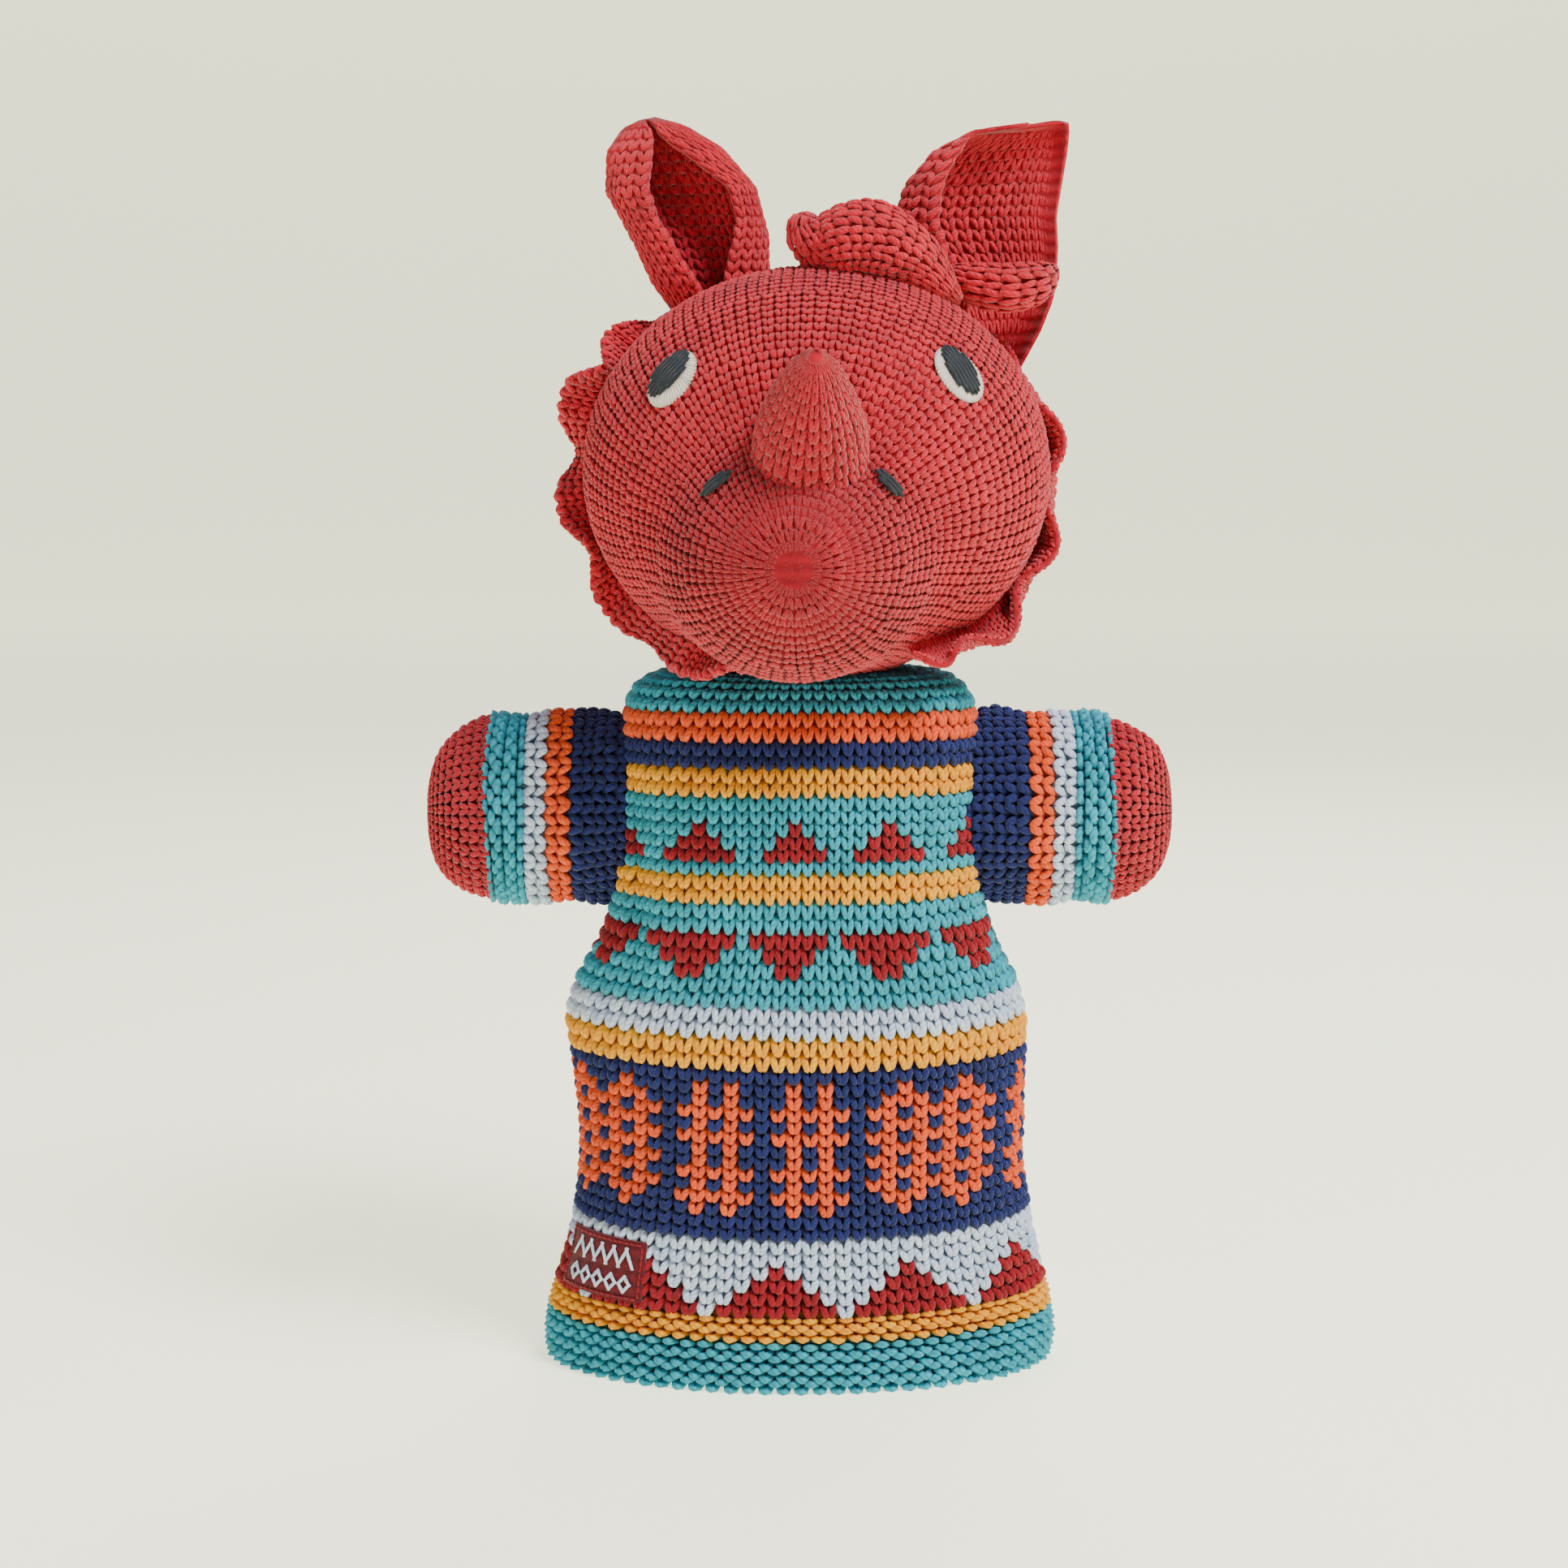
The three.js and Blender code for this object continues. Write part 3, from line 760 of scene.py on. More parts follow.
@dataclass(frozen=True)
class Band:
    """Some rows of one ground colour, with an optional motif in another."""

    rows: int
    ground: Yarn
    motif: Yarn = Yarn.DARK_RED
    widths: tuple[int, ...] = ()
    start: int = 0
    centre: float = 0.0
    period: int = 1
    chart: Optional[str] = None

    def dye(self, row: int, column: int) -> Yarn:
        """The yarn of a stitch, by its row in the band and its column round the gown."""
        if self.chart == "beasts":
            return self._beast(row, column)
        at = row - self.start
        if 0 <= at < len(self.widths):
            offset = (column - self.centre + self.period / 2) % self.period - self.period / 2
            if abs(offset) < self.widths[at] / 2 - 0.01:
                return self.motif
        return self.ground

    def _beast(self, row: int, column: int) -> Yarn:
        """The tall motifs: a pair of ladders, then a pair of beaded ones that share their middle column."""
        at, place = row - self.start, (column - 9) % 22
        chart, inside = (LEAF, place % 6) if place < 11 else (BEAD, (place - 12) % 4)
        if not 0 <= at < len(chart) or place in (11, 21) or inside > 4:
            return self.ground
        return self.motif if chart[at][inside] == "X" else self.ground


GOWN_BANDS = (
    Band(6, Yarn.WHITE, Yarn.DARK_RED, (7, 5, 3, 1), 0, 15, 8),
    Band(14, Yarn.NAVY, Yarn.ORANGE, start=2, chart="beasts"),
    Band(2, Yarn.YELLOW),
    Band(2, Yarn.WHITE),
    Band(7, Yarn.TEAL, Yarn.DARK_RED, (2, 4, 6), 2, 15.5, 7),
    Band(2, Yarn.YELLOW),
    Band(6, Yarn.TEAL, Yarn.DARK_RED, (5, 3, 1), 1, 16, 7),
    Band(2, Yarn.YELLOW),
    Band(2, Yarn.NAVY),
    Band(2, Yarn.ORANGE),
    Band(7, Yarn.TEAL),
)


LINING_SHADE = 0.6  # the backing cloth lies in shadow between the stitches


def band_at(bands: Sequence[Band], row: int, column: int) -> Yarn:
    """The yarn of a stitch in a stack of bands."""
    for band in bands:
        if row < band.rows:
            return band.dye(row, column)
        row -= band.rows
    return bands[-1].ground


@dataclass
class Kit:
    """What every sub-assembly needs: the knitter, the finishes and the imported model's places."""

    knitter: Knitter
    yarn: bpy.types.Material
    fuzzy: bpy.types.Material
    cloth: bpy.types.Material
    woven: bpy.types.Material
    joints: dict[str, ArrayF]

    def wear(self, piece: bpy.types.Object, body: str, slot: str, *nodes: str) -> bpy.types.Object:
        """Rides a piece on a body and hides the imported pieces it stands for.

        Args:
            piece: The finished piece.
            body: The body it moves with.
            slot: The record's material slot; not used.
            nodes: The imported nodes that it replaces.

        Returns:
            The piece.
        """
        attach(piece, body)
        if nodes:
            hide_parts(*nodes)
        log.info("%s: %d faces on %s", piece.name, len(piece.data.polygons), body)
        return piece

    def bend(self, piece: bpy.types.Object, bodies: tuple[str, str], ends: tuple[ArrayF, ArrayF], slot: str,
             *nodes: str) -> bpy.types.Object:
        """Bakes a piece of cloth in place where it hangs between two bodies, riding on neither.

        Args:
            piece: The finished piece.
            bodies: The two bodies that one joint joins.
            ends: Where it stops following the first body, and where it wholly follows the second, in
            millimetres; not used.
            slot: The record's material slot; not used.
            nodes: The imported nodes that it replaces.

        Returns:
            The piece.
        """
        tuple(ends[0] * MM)
        tuple(ends[1] * MM)
        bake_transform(piece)
        if nodes:
            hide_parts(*nodes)
        log.info("%s: %d faces from %s to %s", piece.name, len(piece.data.polygons), *bodies)
        return piece


@dataclass
class Scaled(Surface):
    """A place on another surface, read in millimetres to the right of and above its middle."""

    under: Surface
    middle: tuple[float, float]
    step: tuple[float, float]

    def point(self, across: ArrayF, along: ArrayF) -> ArrayF:
        """The points at these distances, in millimetres."""
        return self.under.point(self.middle[0] + np.asarray(across) / self.step[0],
                                self.middle[1] + np.asarray(along) / self.step[1])


@dataclass
class Gown:
    """The gown: garter hem, patterned tube with armholes, seams, and the woven label."""

    kit: Kit
    axis_y: float
    row: float = 3.0
    column: float = 3.58
    ridge: float = 2.66
    rows: int = 52
    armhole: tuple[float, float, float] = (22.0, 15.6, 21.4)

    def __post_init__(self) -> None:
        """Sets up the surface read in plain rows and the one read in garter ridges."""
        courses = ((-6.0, 0.2), (0.0, 16.9), (6.0, 34.8), (20.0, 73.7), (22.0, 80.4), (24.0, 87.0),
                   (31.0, 109.8), (33.0, 116.1), (39.0, 133.2), (41.0, 139.5), (43.0, 145.2), (45.0, 151.6),
                   (52.2, 173.5))
        self.skin = GarmentSurface(self.axis_y, courses)
        self.hem = GarmentSurface(self.axis_y, ((-2.0, -2 * self.ridge), (60.0, 60 * self.ridge)))

    def in_armhole(self, spots: ArrayF) -> ArrayF:
        """Which points lie inside either armhole."""
        inside = np.zeros(spots.shape[:-1], bool)
        for name in ("arm_swing_left", "arm_swing_right"):
            inside |= np.linalg.norm((spots - self.kit.joints[name]) / self.armhole, axis=-1) < 1
        return inside

    def make(self) -> None:
        """Builds every piece of the gown."""
        self.make_plain()
        self.make_hem()
        self.make_lining()
        self.make_side_seams()
        self.make_label()
        self.make_neck()

    def make_plain(self) -> None:
        """Lays the patterned stitches, in three lengths so that no piece is heavy."""
        places = stitch_grid(self.skin.columns, np.arange(self.rows))
        dyes = np.array([band_at(GOWN_BANDS, int(row), int(column)).value for column, row in places])
        spots = self.skin.point(places[:, 0], places[:, 1] + 0.5)
        keep = ~self.in_armhole(spots)
        for name, low, high in (("skirt", 0, 17), ("waist", 17, 34), ("chest", 34, 60)):
            part = keep & (places[:, 1] >= low) & (places[:, 1] < high)
            piece = self.kit.knitter.lay(f"gown_{name}", self.skin, places[part], dyes[part],
                                         self.kit.knitter.plain, self.kit.yarn, gauge=4.0)
            self.kit.wear(piece, "gown", "gown_knit", *(["gown"] if name == "waist" else []))

    def make_hem(self) -> None:
        """Lays the garter ridges of the teal hem and the yellow ridges over it."""
        for name, low, high, dye, slot, node in (
                ("hem_garter", 0.62, 4.3, Yarn.TEAL, "teal_garter", "hem_band"),
                ("ridge_garter", 4.85, 6.2, Yarn.YELLOW, "yellow_garter", "hem_ridge")):
            piece = garter(self.kit, name, self.hem, np.arange(low, high, 1.0), self.hem.columns, dye, 1.0)
            self.kit.wear(piece, "gown", slot, node)

    def make_lining(self) -> None:
        """Makes the cloth wall behind the stitches, with its armholes cut out."""
        columns = np.arange(0, self.skin.columns, 0.5)
        rows = np.linspace(-5.9, self.rows + 0.1, 120)

        def dye(across: ArrayF, along: ArrayF) -> ArrayF:
            stitches = zip(across.ravel(), along.ravel())
            colours = np.array([self._lining_dye(column, row) for column, row in stitches])
            return colours.reshape(*across.shape, 3) * LINING_SHADE

        wall = self.kit.knitter.lining("gown_lining", self.skin, columns, rows, dye, self.kit.cloth)
        for name in ("arm_swing_left", "arm_swing_right"):
            cut_ball(wall, self.kit.joints[name], np.array(self.armhole) - 0.5)
        self.kit.wear(wall, "gown", "gown_knit")

    def _lining_dye(self, across: float, along: float) -> tuple[float, float, float]:
        """The lining's colour behind a stitch."""
        if along < 0:
            return Yarn.TEAL.value if along < -1.9 else Yarn.YELLOW.value
        return band_at(GOWN_BANDS, int(along), int(across)).value

    def make_side_seams(self) -> None:
        """Sews up both sides with a strand that crosses each row."""
        for side in Side:
            at = self.skin.front + side.value * self.skin.columns / 4
            patch = Scaled(self.skin, (at, 0.0), (self.column, self.row))
            strands = [((-1.1, up), (1.1, up + 1.3)) for up in np.arange(1.0, 28 * self.row, self.row)]
            dyes = [band_at(GOWN_BANDS, row, 1).value for row in range(len(strands))]
            seam = embroider(self.kit, f"side_stitches_{side.word}", patch, strands, 0.62, dyes, 1.5)
            self.kit.wear(seam, "gown", "gown_knit", f"side_seam_{side.word}")

    def make_label(self) -> None:
        """Sews the woven label low on the front, with a plain zigzag and diamonds for a motif."""
        patch = Scaled(self.skin, (4.5, 2.85), (self.column, self.row))
        width, tall = 11.2, 7.0
        plate = self.kit.knitter.lining(
            "label_cloth", patch, np.linspace(-width, width, 40), np.linspace(-tall, tall, 24),
            one_dye(Yarn.MAROON), self.kit.woven, outer=3.0, inner=2.2, closed_round=False)
        self.kit.wear(plate, "gown", "label_cloth", "label")
        peaks = np.linspace(-8.4, 8.4, 11)
        zigzag = [((x0, 1.0 + 3.6 * (k % 2)), (x1, 4.6 - 3.6 * (k % 2)))
                  for k, (x0, x1) in enumerate(zip(peaks, peaks[1:]))]
        gems = []
        for x in np.linspace(-7.0, 7.0, 5):
            gems += [((x - 1.3, -3.2), (x, -1.5)), ((x, -1.5), (x + 1.3, -3.2)),
                     ((x + 1.3, -3.2), (x, -4.9)), ((x, -4.9), (x - 1.3, -3.2))]
        motif = embroider(self.kit, "label_motif", patch, zigzag + gems, 0.42, Yarn.WHITE, 3.1)
        self.kit.wear(motif, "gown", "label_cloth")
        hems = [((x, end), (x + 0.9, end)) for end in (-tall + 0.7, tall - 0.7)
                for x in np.arange(-width + 0.8, width - 1.2, 1.5)]
        hems += [((end, z), (end, z + 0.9)) for end in (-width + 0.7, width - 0.7)
                 for z in np.arange(-tall + 1.2, tall - 1.6, 1.5)]
        sewn = embroider(self.kit, "label_sewing", patch, hems, 0.26, Yarn.DARK_RED, 3.1)
        self.kit.wear(sewn, "gown", "label_cloth", "label_stitches")

    def make_neck(self) -> None:
        """Knits the short collar inside the neck and the seam that holds the head to it."""
        collar = RingSurface((0.0, self.axis_y, 145.6), 18.4, 30, 2.6)
        places = stitch_grid(collar.columns, np.arange(3))
        knit = self.kit.knitter
        rib = knit.lay("collar_knit", collar, places, dyed(Yarn.TEAL, places), knit.plain, self.kit.yarn,
                       lift=0.8)
        self.kit.wear(rib, "collar", "gown_knit")
        wall = knit.lining("collar_wall", collar, np.arange(0, collar.columns, 0.5), np.linspace(0, 3.9, 5),
                           one_dye(Yarn.TEAL, LINING_SHADE), self.kit.cloth)
        self.kit.wear(wall, "collar", "gown_knit", "neck_collar")
        seam = RingSurface((0.0, self.axis_y, 156.0), 15.2, 24, 1.0)
        strands = [((at, 0.2), (at + 0.55, 2.0)) for at in np.arange(seam.columns)]
        sewn = embroider(self.kit, "neck_thread", seam, strands, 0.22, Yarn.HEAD_RED, 0.2)
        self.kit.wear(sewn, "neck_seam", "red_knit", "neck_seam")


@dataclass
class RingSurface(Surface):
    """An upright ring of cloth."""

    base: tuple[float, float, float]
    radius: float
    columns: int
    row: float

    def point(self, across: ArrayF, along: ArrayF) -> ArrayF:
        """The points at these columns and rows, in millimetres."""
        turn = np.asarray(across) / self.columns * 2 * math.pi - math.pi / 2
        return stack(self.base[0] + self.radius * np.cos(turn), self.base[1] + self.radius * np.sin(turn),
                     self.base[2] + np.asarray(along) * self.row)


def garter(kit: Kit, name: str, surface: Surface, ridges: ArrayF, columns: int, dye: Yarn,
           lift: float) -> bpy.types.Object:
    """Lays ridges of garter knitting: one set of bumps hangs, and one stands half a column along.

    Args:
        kit: The knitter and finishes.
        name: The piece's name.
        surface: What the ridges lie on.
        ridges: The row of each ridge.
        columns: How many bumps each ridge has.
        dye: Their yarn.
        lift: How far the yarn stands out, as a share of a stitch's width.

    Returns:
        The finished piece.
    """
    parts = []
    for k, (loop, shift, rise) in enumerate(zip(kit.knitter.purl, (1.0, 0.5), (-0.25, 0.25))):
        places = stitch_grid(columns, ridges, shift, rise)
        parts.append(kit.knitter.lay(f"{name}_{k}", surface, places, dyed(dye, places), [loop], kit.yarn,
                                     lift=lift))
    return joined(name, parts)


def joined(name: str, parts: Sequence[bpy.types.Object]) -> bpy.types.Object:
    """Joins objects into the first one and names it."""
    bpy.ops.object.select_all(action="DESELECT")
    for part in parts:
        part.select_set(True)
    bpy.context.view_layer.objects.active = parts[0]
    bpy.ops.object.join()
    parts[0].name = name
    parts[0].data.name = name
    return parts[0]


def cut_ball(piece: bpy.types.Object, centre: ArrayF, half: Sequence[float]) -> None:
    """Cuts a ball, or a ball squeezed along an axis, out of a closed piece.

    Args:
        piece: What is cut.
        centre: The ball's centre in millimetres.
        half: Its half widths in millimetres.
    """
    bpy.ops.object.select_all(action="DESELECT")
    bpy.ops.mesh.primitive_uv_sphere_add(segments=32, ring_count=20, radius=1.0,
                                         location=tuple(np.asarray(centre) * MM))
    cutter = bpy.context.object
    cutter.scale = tuple(np.asarray(half) * MM)
    bpy.context.view_layer.objects.active = piece
    cut = piece.modifiers.new("cut", "BOOLEAN")
    cut.operation = "DIFFERENCE"
    cut.object = cutter
    cut.solver = "EXACT"
    bpy.ops.object.modifier_apply(modifier="cut")
    bpy.data.objects.remove(cutter)


# ---- the arms -------------------------------------------------------------------------------------


@dataclass
class SleeveSurface(Surface):
    """A sleeve or a mitt: a flattened tube that runs out sideways from a shoulder."""

    shoulder: ArrayF
    side: int
    columns: int
    start: float
    row: float
    profile: Sequence[tuple[float, float]]
    flat: float = 0.82
    droop: float = 0.02

    def __post_init__(self) -> None:
        """Works out how far along the tube each row lies."""
        out, radius = np.array(self.profile, float).T
        steps = np.concatenate([[0], np.cumsum(np.hypot(np.diff(out), np.diff(radius)))])
        self._steps, self._out, self._radius = steps, out, radius

    @property
    def length(self) -> float:
        """The length of cloth from the tube's start to its end, in millimetres."""
        return float(self._steps[-1])

    def point(self, across: ArrayF, along: ArrayF) -> ArrayF:
        """The points at these columns and rows, in millimetres."""
        gone = self.start + np.asarray(along) * self.row
        out = np.interp(gone, self._steps, self._out)
        radius = np.interp(gone, self._steps, self._radius)
        turn = np.asarray(across) / self.columns * 2 * math.pi
        ripple = 1 + 0.02 * np.sin(3 * turn + 0.3 * out) + 0.012 * np.sin(2 * turn - 0.5 * out)
        x = self.shoulder[0] + self.side * out
        flat = self.flat - 0.14 * (1 - smooth(-4, 16, out))
        y = self.shoulder[1] - radius * ripple * flat * np.cos(turn)
        z = self.shoulder[2] - self.side * radius * ripple * np.sin(turn) - self.droop * np.maximum(0, out)
        return stack(x, y, z)


class Side(Enum):
    """Which side a piece is on, seen by someone who looks at the face."""

    LEFT = -1
    RIGHT = 1

    @property
    def word(self) -> str:
        """The side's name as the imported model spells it."""
        return self.name.lower()


SLEEVE_BANDS = (Band(6, Yarn.NAVY), Band(2, Yarn.ORANGE), Band(2, Yarn.WHITE))


@dataclass
class Arm:
    """A sleeve with its stripes, its garter cuff and the stuffed mitt at its end."""

    kit: Kit
    side: Side
    root: float = -6.5
    stripes_end: float = 19.6
    cuff_end: float = 28.6
    tip: float = 42.6
    columns: int = 30
    fine_columns: int = 40

    def make(self) -> None:
        """Builds the sleeve, cuff and mitt of one arm."""
        shoulder = self.kit.joints[f"arm_swing_{self.side.word}"]
        way = self.side.value
        rows = sum(band.rows for band in SLEEVE_BANDS)
        row = (self.stripes_end - self.root) / rows
        tube = [(self.root - 2, 20.0), (-3, 20.6), (1, 21.0), (9, 20.9), (self.stripes_end, 20.2), (24, 20.6),
                (self.cuff_end, 19.9)]
        sleeve = SleeveSurface(shoulder, way, self.columns, 2.0, row, tube)
        places = stitch_grid(self.columns, np.arange(rows))
        dyes = np.array([band_at(SLEEVE_BANDS, int(line), 0).value for line in places[:, 1]])
        knit = self.kit.knitter
        stripes = knit.lay(f"sleeve_stripes_{self.side.word}", sleeve, places, dyes, knit.plain,
                           self.kit.yarn, lift=0.72)
        bodies = (f"armhole_{self.side.word}", f"arm_{self.side.word}")
        ends = (shoulder + [way * -2.0, 0, 0], shoulder + [way * 15.0, 0, 0])
        self.kit.bend(stripes, bodies, ends, "gown_knit", f"sleeve_{self.side.word}")
        cuff = SleeveSurface(shoulder, way, self.columns, self.stripes_end - self.root + 2.6, 2.9, tube)
        band = garter(self.kit, f"cuff_garter_{self.side.word}", cuff, np.arange(0.4, 3.0, 1.0), self.columns,
                      Yarn.TEAL, 0.8)
        self.kit.wear(band, f"arm_{self.side.word}", "teal_garter", f"cuff_{self.side.word}")
        self.make_mitt(shoulder, way)

        def dye(across: ArrayF, along: ArrayF) -> ArrayF:
            colours = [Yarn.NAVY, Yarn.ORANGE, Yarn.WHITE, Yarn.TEAL]
            at = (along > 6).astype(int) + (along > 8) + (along > 10)
            return np.array([colour.value for colour in colours])[at] * LINING_SHADE

        lining = knit.lining(f"sleeve_lining_{self.side.word}", sleeve, np.arange(0, self.columns, 0.5),
                             np.linspace(0, 13.2, 32), dye, self.kit.cloth)
        self.kit.bend(lining, bodies, ends, "gown_knit")
        ring = SleeveSurface(shoulder, way, self.columns, 1.0, 1.0, tube)
        strands = [((at, 0.2), (at + 0.5, 2.6)) for at in np.arange(self.columns)]
        seam = embroider(self.kit, f"armhole_stitches_{self.side.word}", ring, strands, 0.24, Yarn.NAVY, 1.2)
        self.kit.wear(seam, f"armhole_{self.side.word}", "gown_knit", f"armhole_seam_{self.side.word}")

    def make_mitt(self, shoulder: ArrayF, way: int) -> None:
        """Builds the rounded mitt, whose rows draw in to its tip."""
        start, half = self.cuff_end - 1.2, 19.7
        dome = [(start + (self.tip - start) * math.sin(turn), half * max(0.001, math.cos(turn)) ** 0.8)
                for turn in np.linspace(0, math.pi / 2, 24)]
        mitt = SleeveSurface(shoulder, way, self.fine_columns, 0.0, 2.15, dome)
        last = mitt.length / mitt.row
        places = stitch_grid(self.fine_columns, np.arange(int(last) - 1))
        knit = self.kit.knitter
        cover = knit.lay(f"mitt_knit_{self.side.word}", mitt, places, dyed(Yarn.RED, places), knit.plain,
                         self.kit.fuzzy, lift=0.8)
        self.kit.wear(cover, f"arm_{self.side.word}", "red_knit")
        core = knit.lining(f"mitt_core_{self.side.word}", mitt, np.arange(0, self.fine_columns, 1.0),
                           np.linspace(0, last - 0.02, 20), one_dye(Yarn.RED, LINING_SHADE),
                           self.kit.cloth, outer=-0.2, inner=-2.0)
        self.kit.wear(core, f"arm_{self.side.word}", "red_knit", f"mitt_{self.side.word}")
        filling = knit.stuffing(f"mitt_filling_{self.side.word}", mitt, self.fine_columns,
                                np.linspace(1.2, last - 0.6, 12), 2.9, self.kit.cloth)
        self.kit.wear(filling, f"arm_{self.side.word}", "stuffing", f"mitt_padding_{self.side.word}")


# ---- the head -------------------------------------------------------------------------------------


@dataclass
class HeadShape:
    """The stuffed head as seen from a point inside it: a skull, a muzzle and a neck melted together.

    A higher ``melt`` gives a sharper valley where two of them meet. ``about`` is roughly how far the cloth
    lies from the inside point, and only keeps the powers small.
    """

    axis_y: float
    skull: tuple[float, float, float] = (3.7, -9.0, 205.0)
    skull_half: tuple[float, float, float] = (51.6, 48.6, 45.4)
    muzzle: tuple[float, float, float] = (-1.0, -39.0, 187.0)
    muzzle_half: tuple[float, float, float] = (28.2, 33.0, 26.2)
    middle: tuple[float, float, float] = (1.0, -24.0, 198.0)
    nose: tuple[float, float, float] = (-1.7, -72.0, 184.4)
    neck: tuple[float, float, float] = (0.0, 0.0, 180.0)
    neck_half: tuple[float, float, float] = (25.4, 25.4, 25.4)
    melt: float = 11.0
    about: float = 40.0

    def __post_init__(self) -> None:
        """Works out the direction out of the muzzle and the arc length from its tip."""
        self.centre = np.array(self.middle) + [0, self.axis_y, 0]
        out = np.array(self.nose) - np.array(self.middle)
        self.out = out / np.linalg.norm(out)
        up = np.array([0, 0, 1.0]) - self.out * self.out[2]
        self.up = up / np.linalg.norm(up)
        self.right = np.cross(self.up, self.out)
        tilt = np.linspace(0, math.pi, 400)
        turn = np.linspace(0, 2 * math.pi, 48, endpoint=False)
        spots = self.at(*np.meshgrid(turn, tilt))
        arcs = np.linalg.norm(np.diff(spots, axis=0), axis=-1).mean(axis=1)
        self._tilt, self._arc = tilt, np.concatenate([[0], np.cumsum(arcs)])

    @property
    def length(self) -> float:
        """The arc length from the muzzle's tip to the back of the head."""
        return float(self._arc[-1])

    def reach(self, ways: ArrayF) -> ArrayF:
        """How far the surface lies from the inside point, in these unit directions."""
        far = 0.0
        for at, half in ((self.skull, self.skull_half), (self.muzzle, self.muzzle_half),
                         (self.neck, self.neck_half)):
            away = (np.array(at) - np.array(self.middle)) / half
            way = ways / np.array(half)
            square, mixed = (way ** 2).sum(-1), (way * away).sum(-1)
            inside = mixed ** 2 - square * ((away ** 2).sum() - 1)
            hit = np.where(inside > 0, mixed + np.sqrt(np.maximum(inside, 0)), 0)
            far = far + (np.maximum(hit, 0) / square / self.about) ** self.melt
        return self.about * far ** (1 / self.melt)

    def at(self, turn: ArrayF, tilt: ArrayF) -> ArrayF:
        """The point at an angle round the muzzle, clockwise from the top, and an angle away from it."""
        turn, tilt = np.asarray(turn)[..., None], np.asarray(tilt)[..., None]
        ways = np.cos(tilt) * self.out + np.sin(tilt) * (np.cos(turn) * self.up + np.sin(turn) * self.right)
        return self.centre + ways * self.reach(ways)[..., None]

    def tilt_at(self, arc: ArrayF) -> ArrayF:
        """The angle away from the muzzle's tip at an arc length."""
        return np.interp(arc, self._arc, self._tilt)

    def onto(self, spots: ArrayF) -> ArrayF:
        """Brings points onto the surface, straight towards or away from the inside point."""
        ways = spots - self.centre
        ways = ways / np.linalg.norm(ways, axis=-1, keepdims=True)
        return self.centre + ways * self.reach(ways)[..., None]


@dataclass
class HeadKnit(Surface):
    """The head's knitting: columns radiate from the muzzle's tip and rows ring it."""

    shape: HeadShape
    columns: int
    row: float = 2.4

    def point(self, across: ArrayF, along: ArrayF) -> ArrayF:
        """The points at these columns and rows, in millimetres."""
        turn = np.asarray(across) / self.columns * 2 * math.pi
        return self.shape.at(turn, self.shape.tilt_at(np.asarray(along) * self.row))


@dataclass
class HeadPatch(Surface):
    """A small place on the head, read in millimetres to the right of and above its middle."""

    shape: HeadShape
    middle: ArrayF
    lean: float = 0.0

    def __post_init__(self) -> None:
        """Finds which way the cloth faces there."""
        spot = self.shape.onto(self.middle[None])[0]
        step = 0.5
        sides = [self.shape.onto((spot + np.array(way) * step)[None])[0] - spot
                 for way in ((1.0, 0, 0), (0, 0, 1.0))]
        facing = np.cross(sides[0], sides[1])
        facing /= np.linalg.norm(facing)
        right = np.cross([0, 0, 1.0], facing)
        right = right / np.linalg.norm(right)
        top = np.cross(facing, right)
        turn = math.cos(self.lean), math.sin(self.lean)
        self._spot = spot
        self._right = right * turn[0] + top * turn[1]
        self._top = top * turn[0] - right * turn[1]

    def point(self, across: ArrayF, along: ArrayF) -> ArrayF:
        """The points at these distances, in millimetres."""
        across, along = np.broadcast_arrays(np.asarray(across, float), np.asarray(along, float))
        return self.shape.onto(self._spot + across[..., None] * self._right + along[..., None] * self._top)


@dataclass
class Flipped(Surface):
    """The other face of a sheet."""

    face: Surface

    def point(self, across: ArrayF, along: ArrayF) -> ArrayF:
        """The points at these columns and rows, with the columns running the other way."""
        return self.face.point(-np.asarray(across), along)


def embroider(kit: Kit, name: str, surface: Surface, strands: Sequence[tuple[tuple[float, float], ...]],
              width: float, dye: object, height: float) -> bpy.types.Object:
    """Lays straight strands side by side on a surface that is read in millimetres.

    Args:
        kit: The knitter and finishes.
        name: The piece's name.
        surface: What the strands lie on.
        strands: Each strand's two ends.
        width: The strands' half width in millimetres.
        dye: Their yarn, or the linear colour of each.
        height: How far their middles stand over the surface, in millimetres.

    Returns:
        The finished piece.
    """
    loop = Loop.model(f"{name}_strand", lambda share: np.stack(
        [np.zeros_like(share), share, 1.2 * np.sin(math.pi * share) ** 0.6 - 0.4], axis=1),
        lambda share: np.sin(math.pi * np.clip(0.04 + 0.92 * share, 0, 1)) ** 0.35, sides=6, rings=6)
    corners, faces, yarn = [], [], []
    for k, (start, end) in enumerate(strands):
        start, end = np.array(start), np.array(end)
        along = end - start
        long = np.linalg.norm(along)
        along = along / long
        side = np.array([along[1], -along[0]])
        share = np.clip(loop.corners[:, 1], -0.2, 1.2)
        spot = start + along * (share * long)[:, None] + side * (loop.corners[:, :1] * width)
        at, normal, _, _ = surface.spread(spot[:, 0], spot[:, 1])
        corners.append(at + normal * (loop.corners[:, 2] * width * 0.7 + height)[:, None])
        faces.append(loop.faces + k * len(loop.corners))
        yarn.append(loop.yarn.reshape(-1, 2))
    base = np.array([dye.value] if isinstance(dye, Yarn) else dye)
    colours = np.repeat(base * (1 + 0.06 * kit.knitter.hand.normal(0, 1, (len(strands), 1))),
                        len(loop.corners), axis=0)
    return mesh_piece(name, np.concatenate(corners), np.concatenate(faces), kit.yarn, np.clip(colours, 0, 1),
                      np.concatenate(yarn))


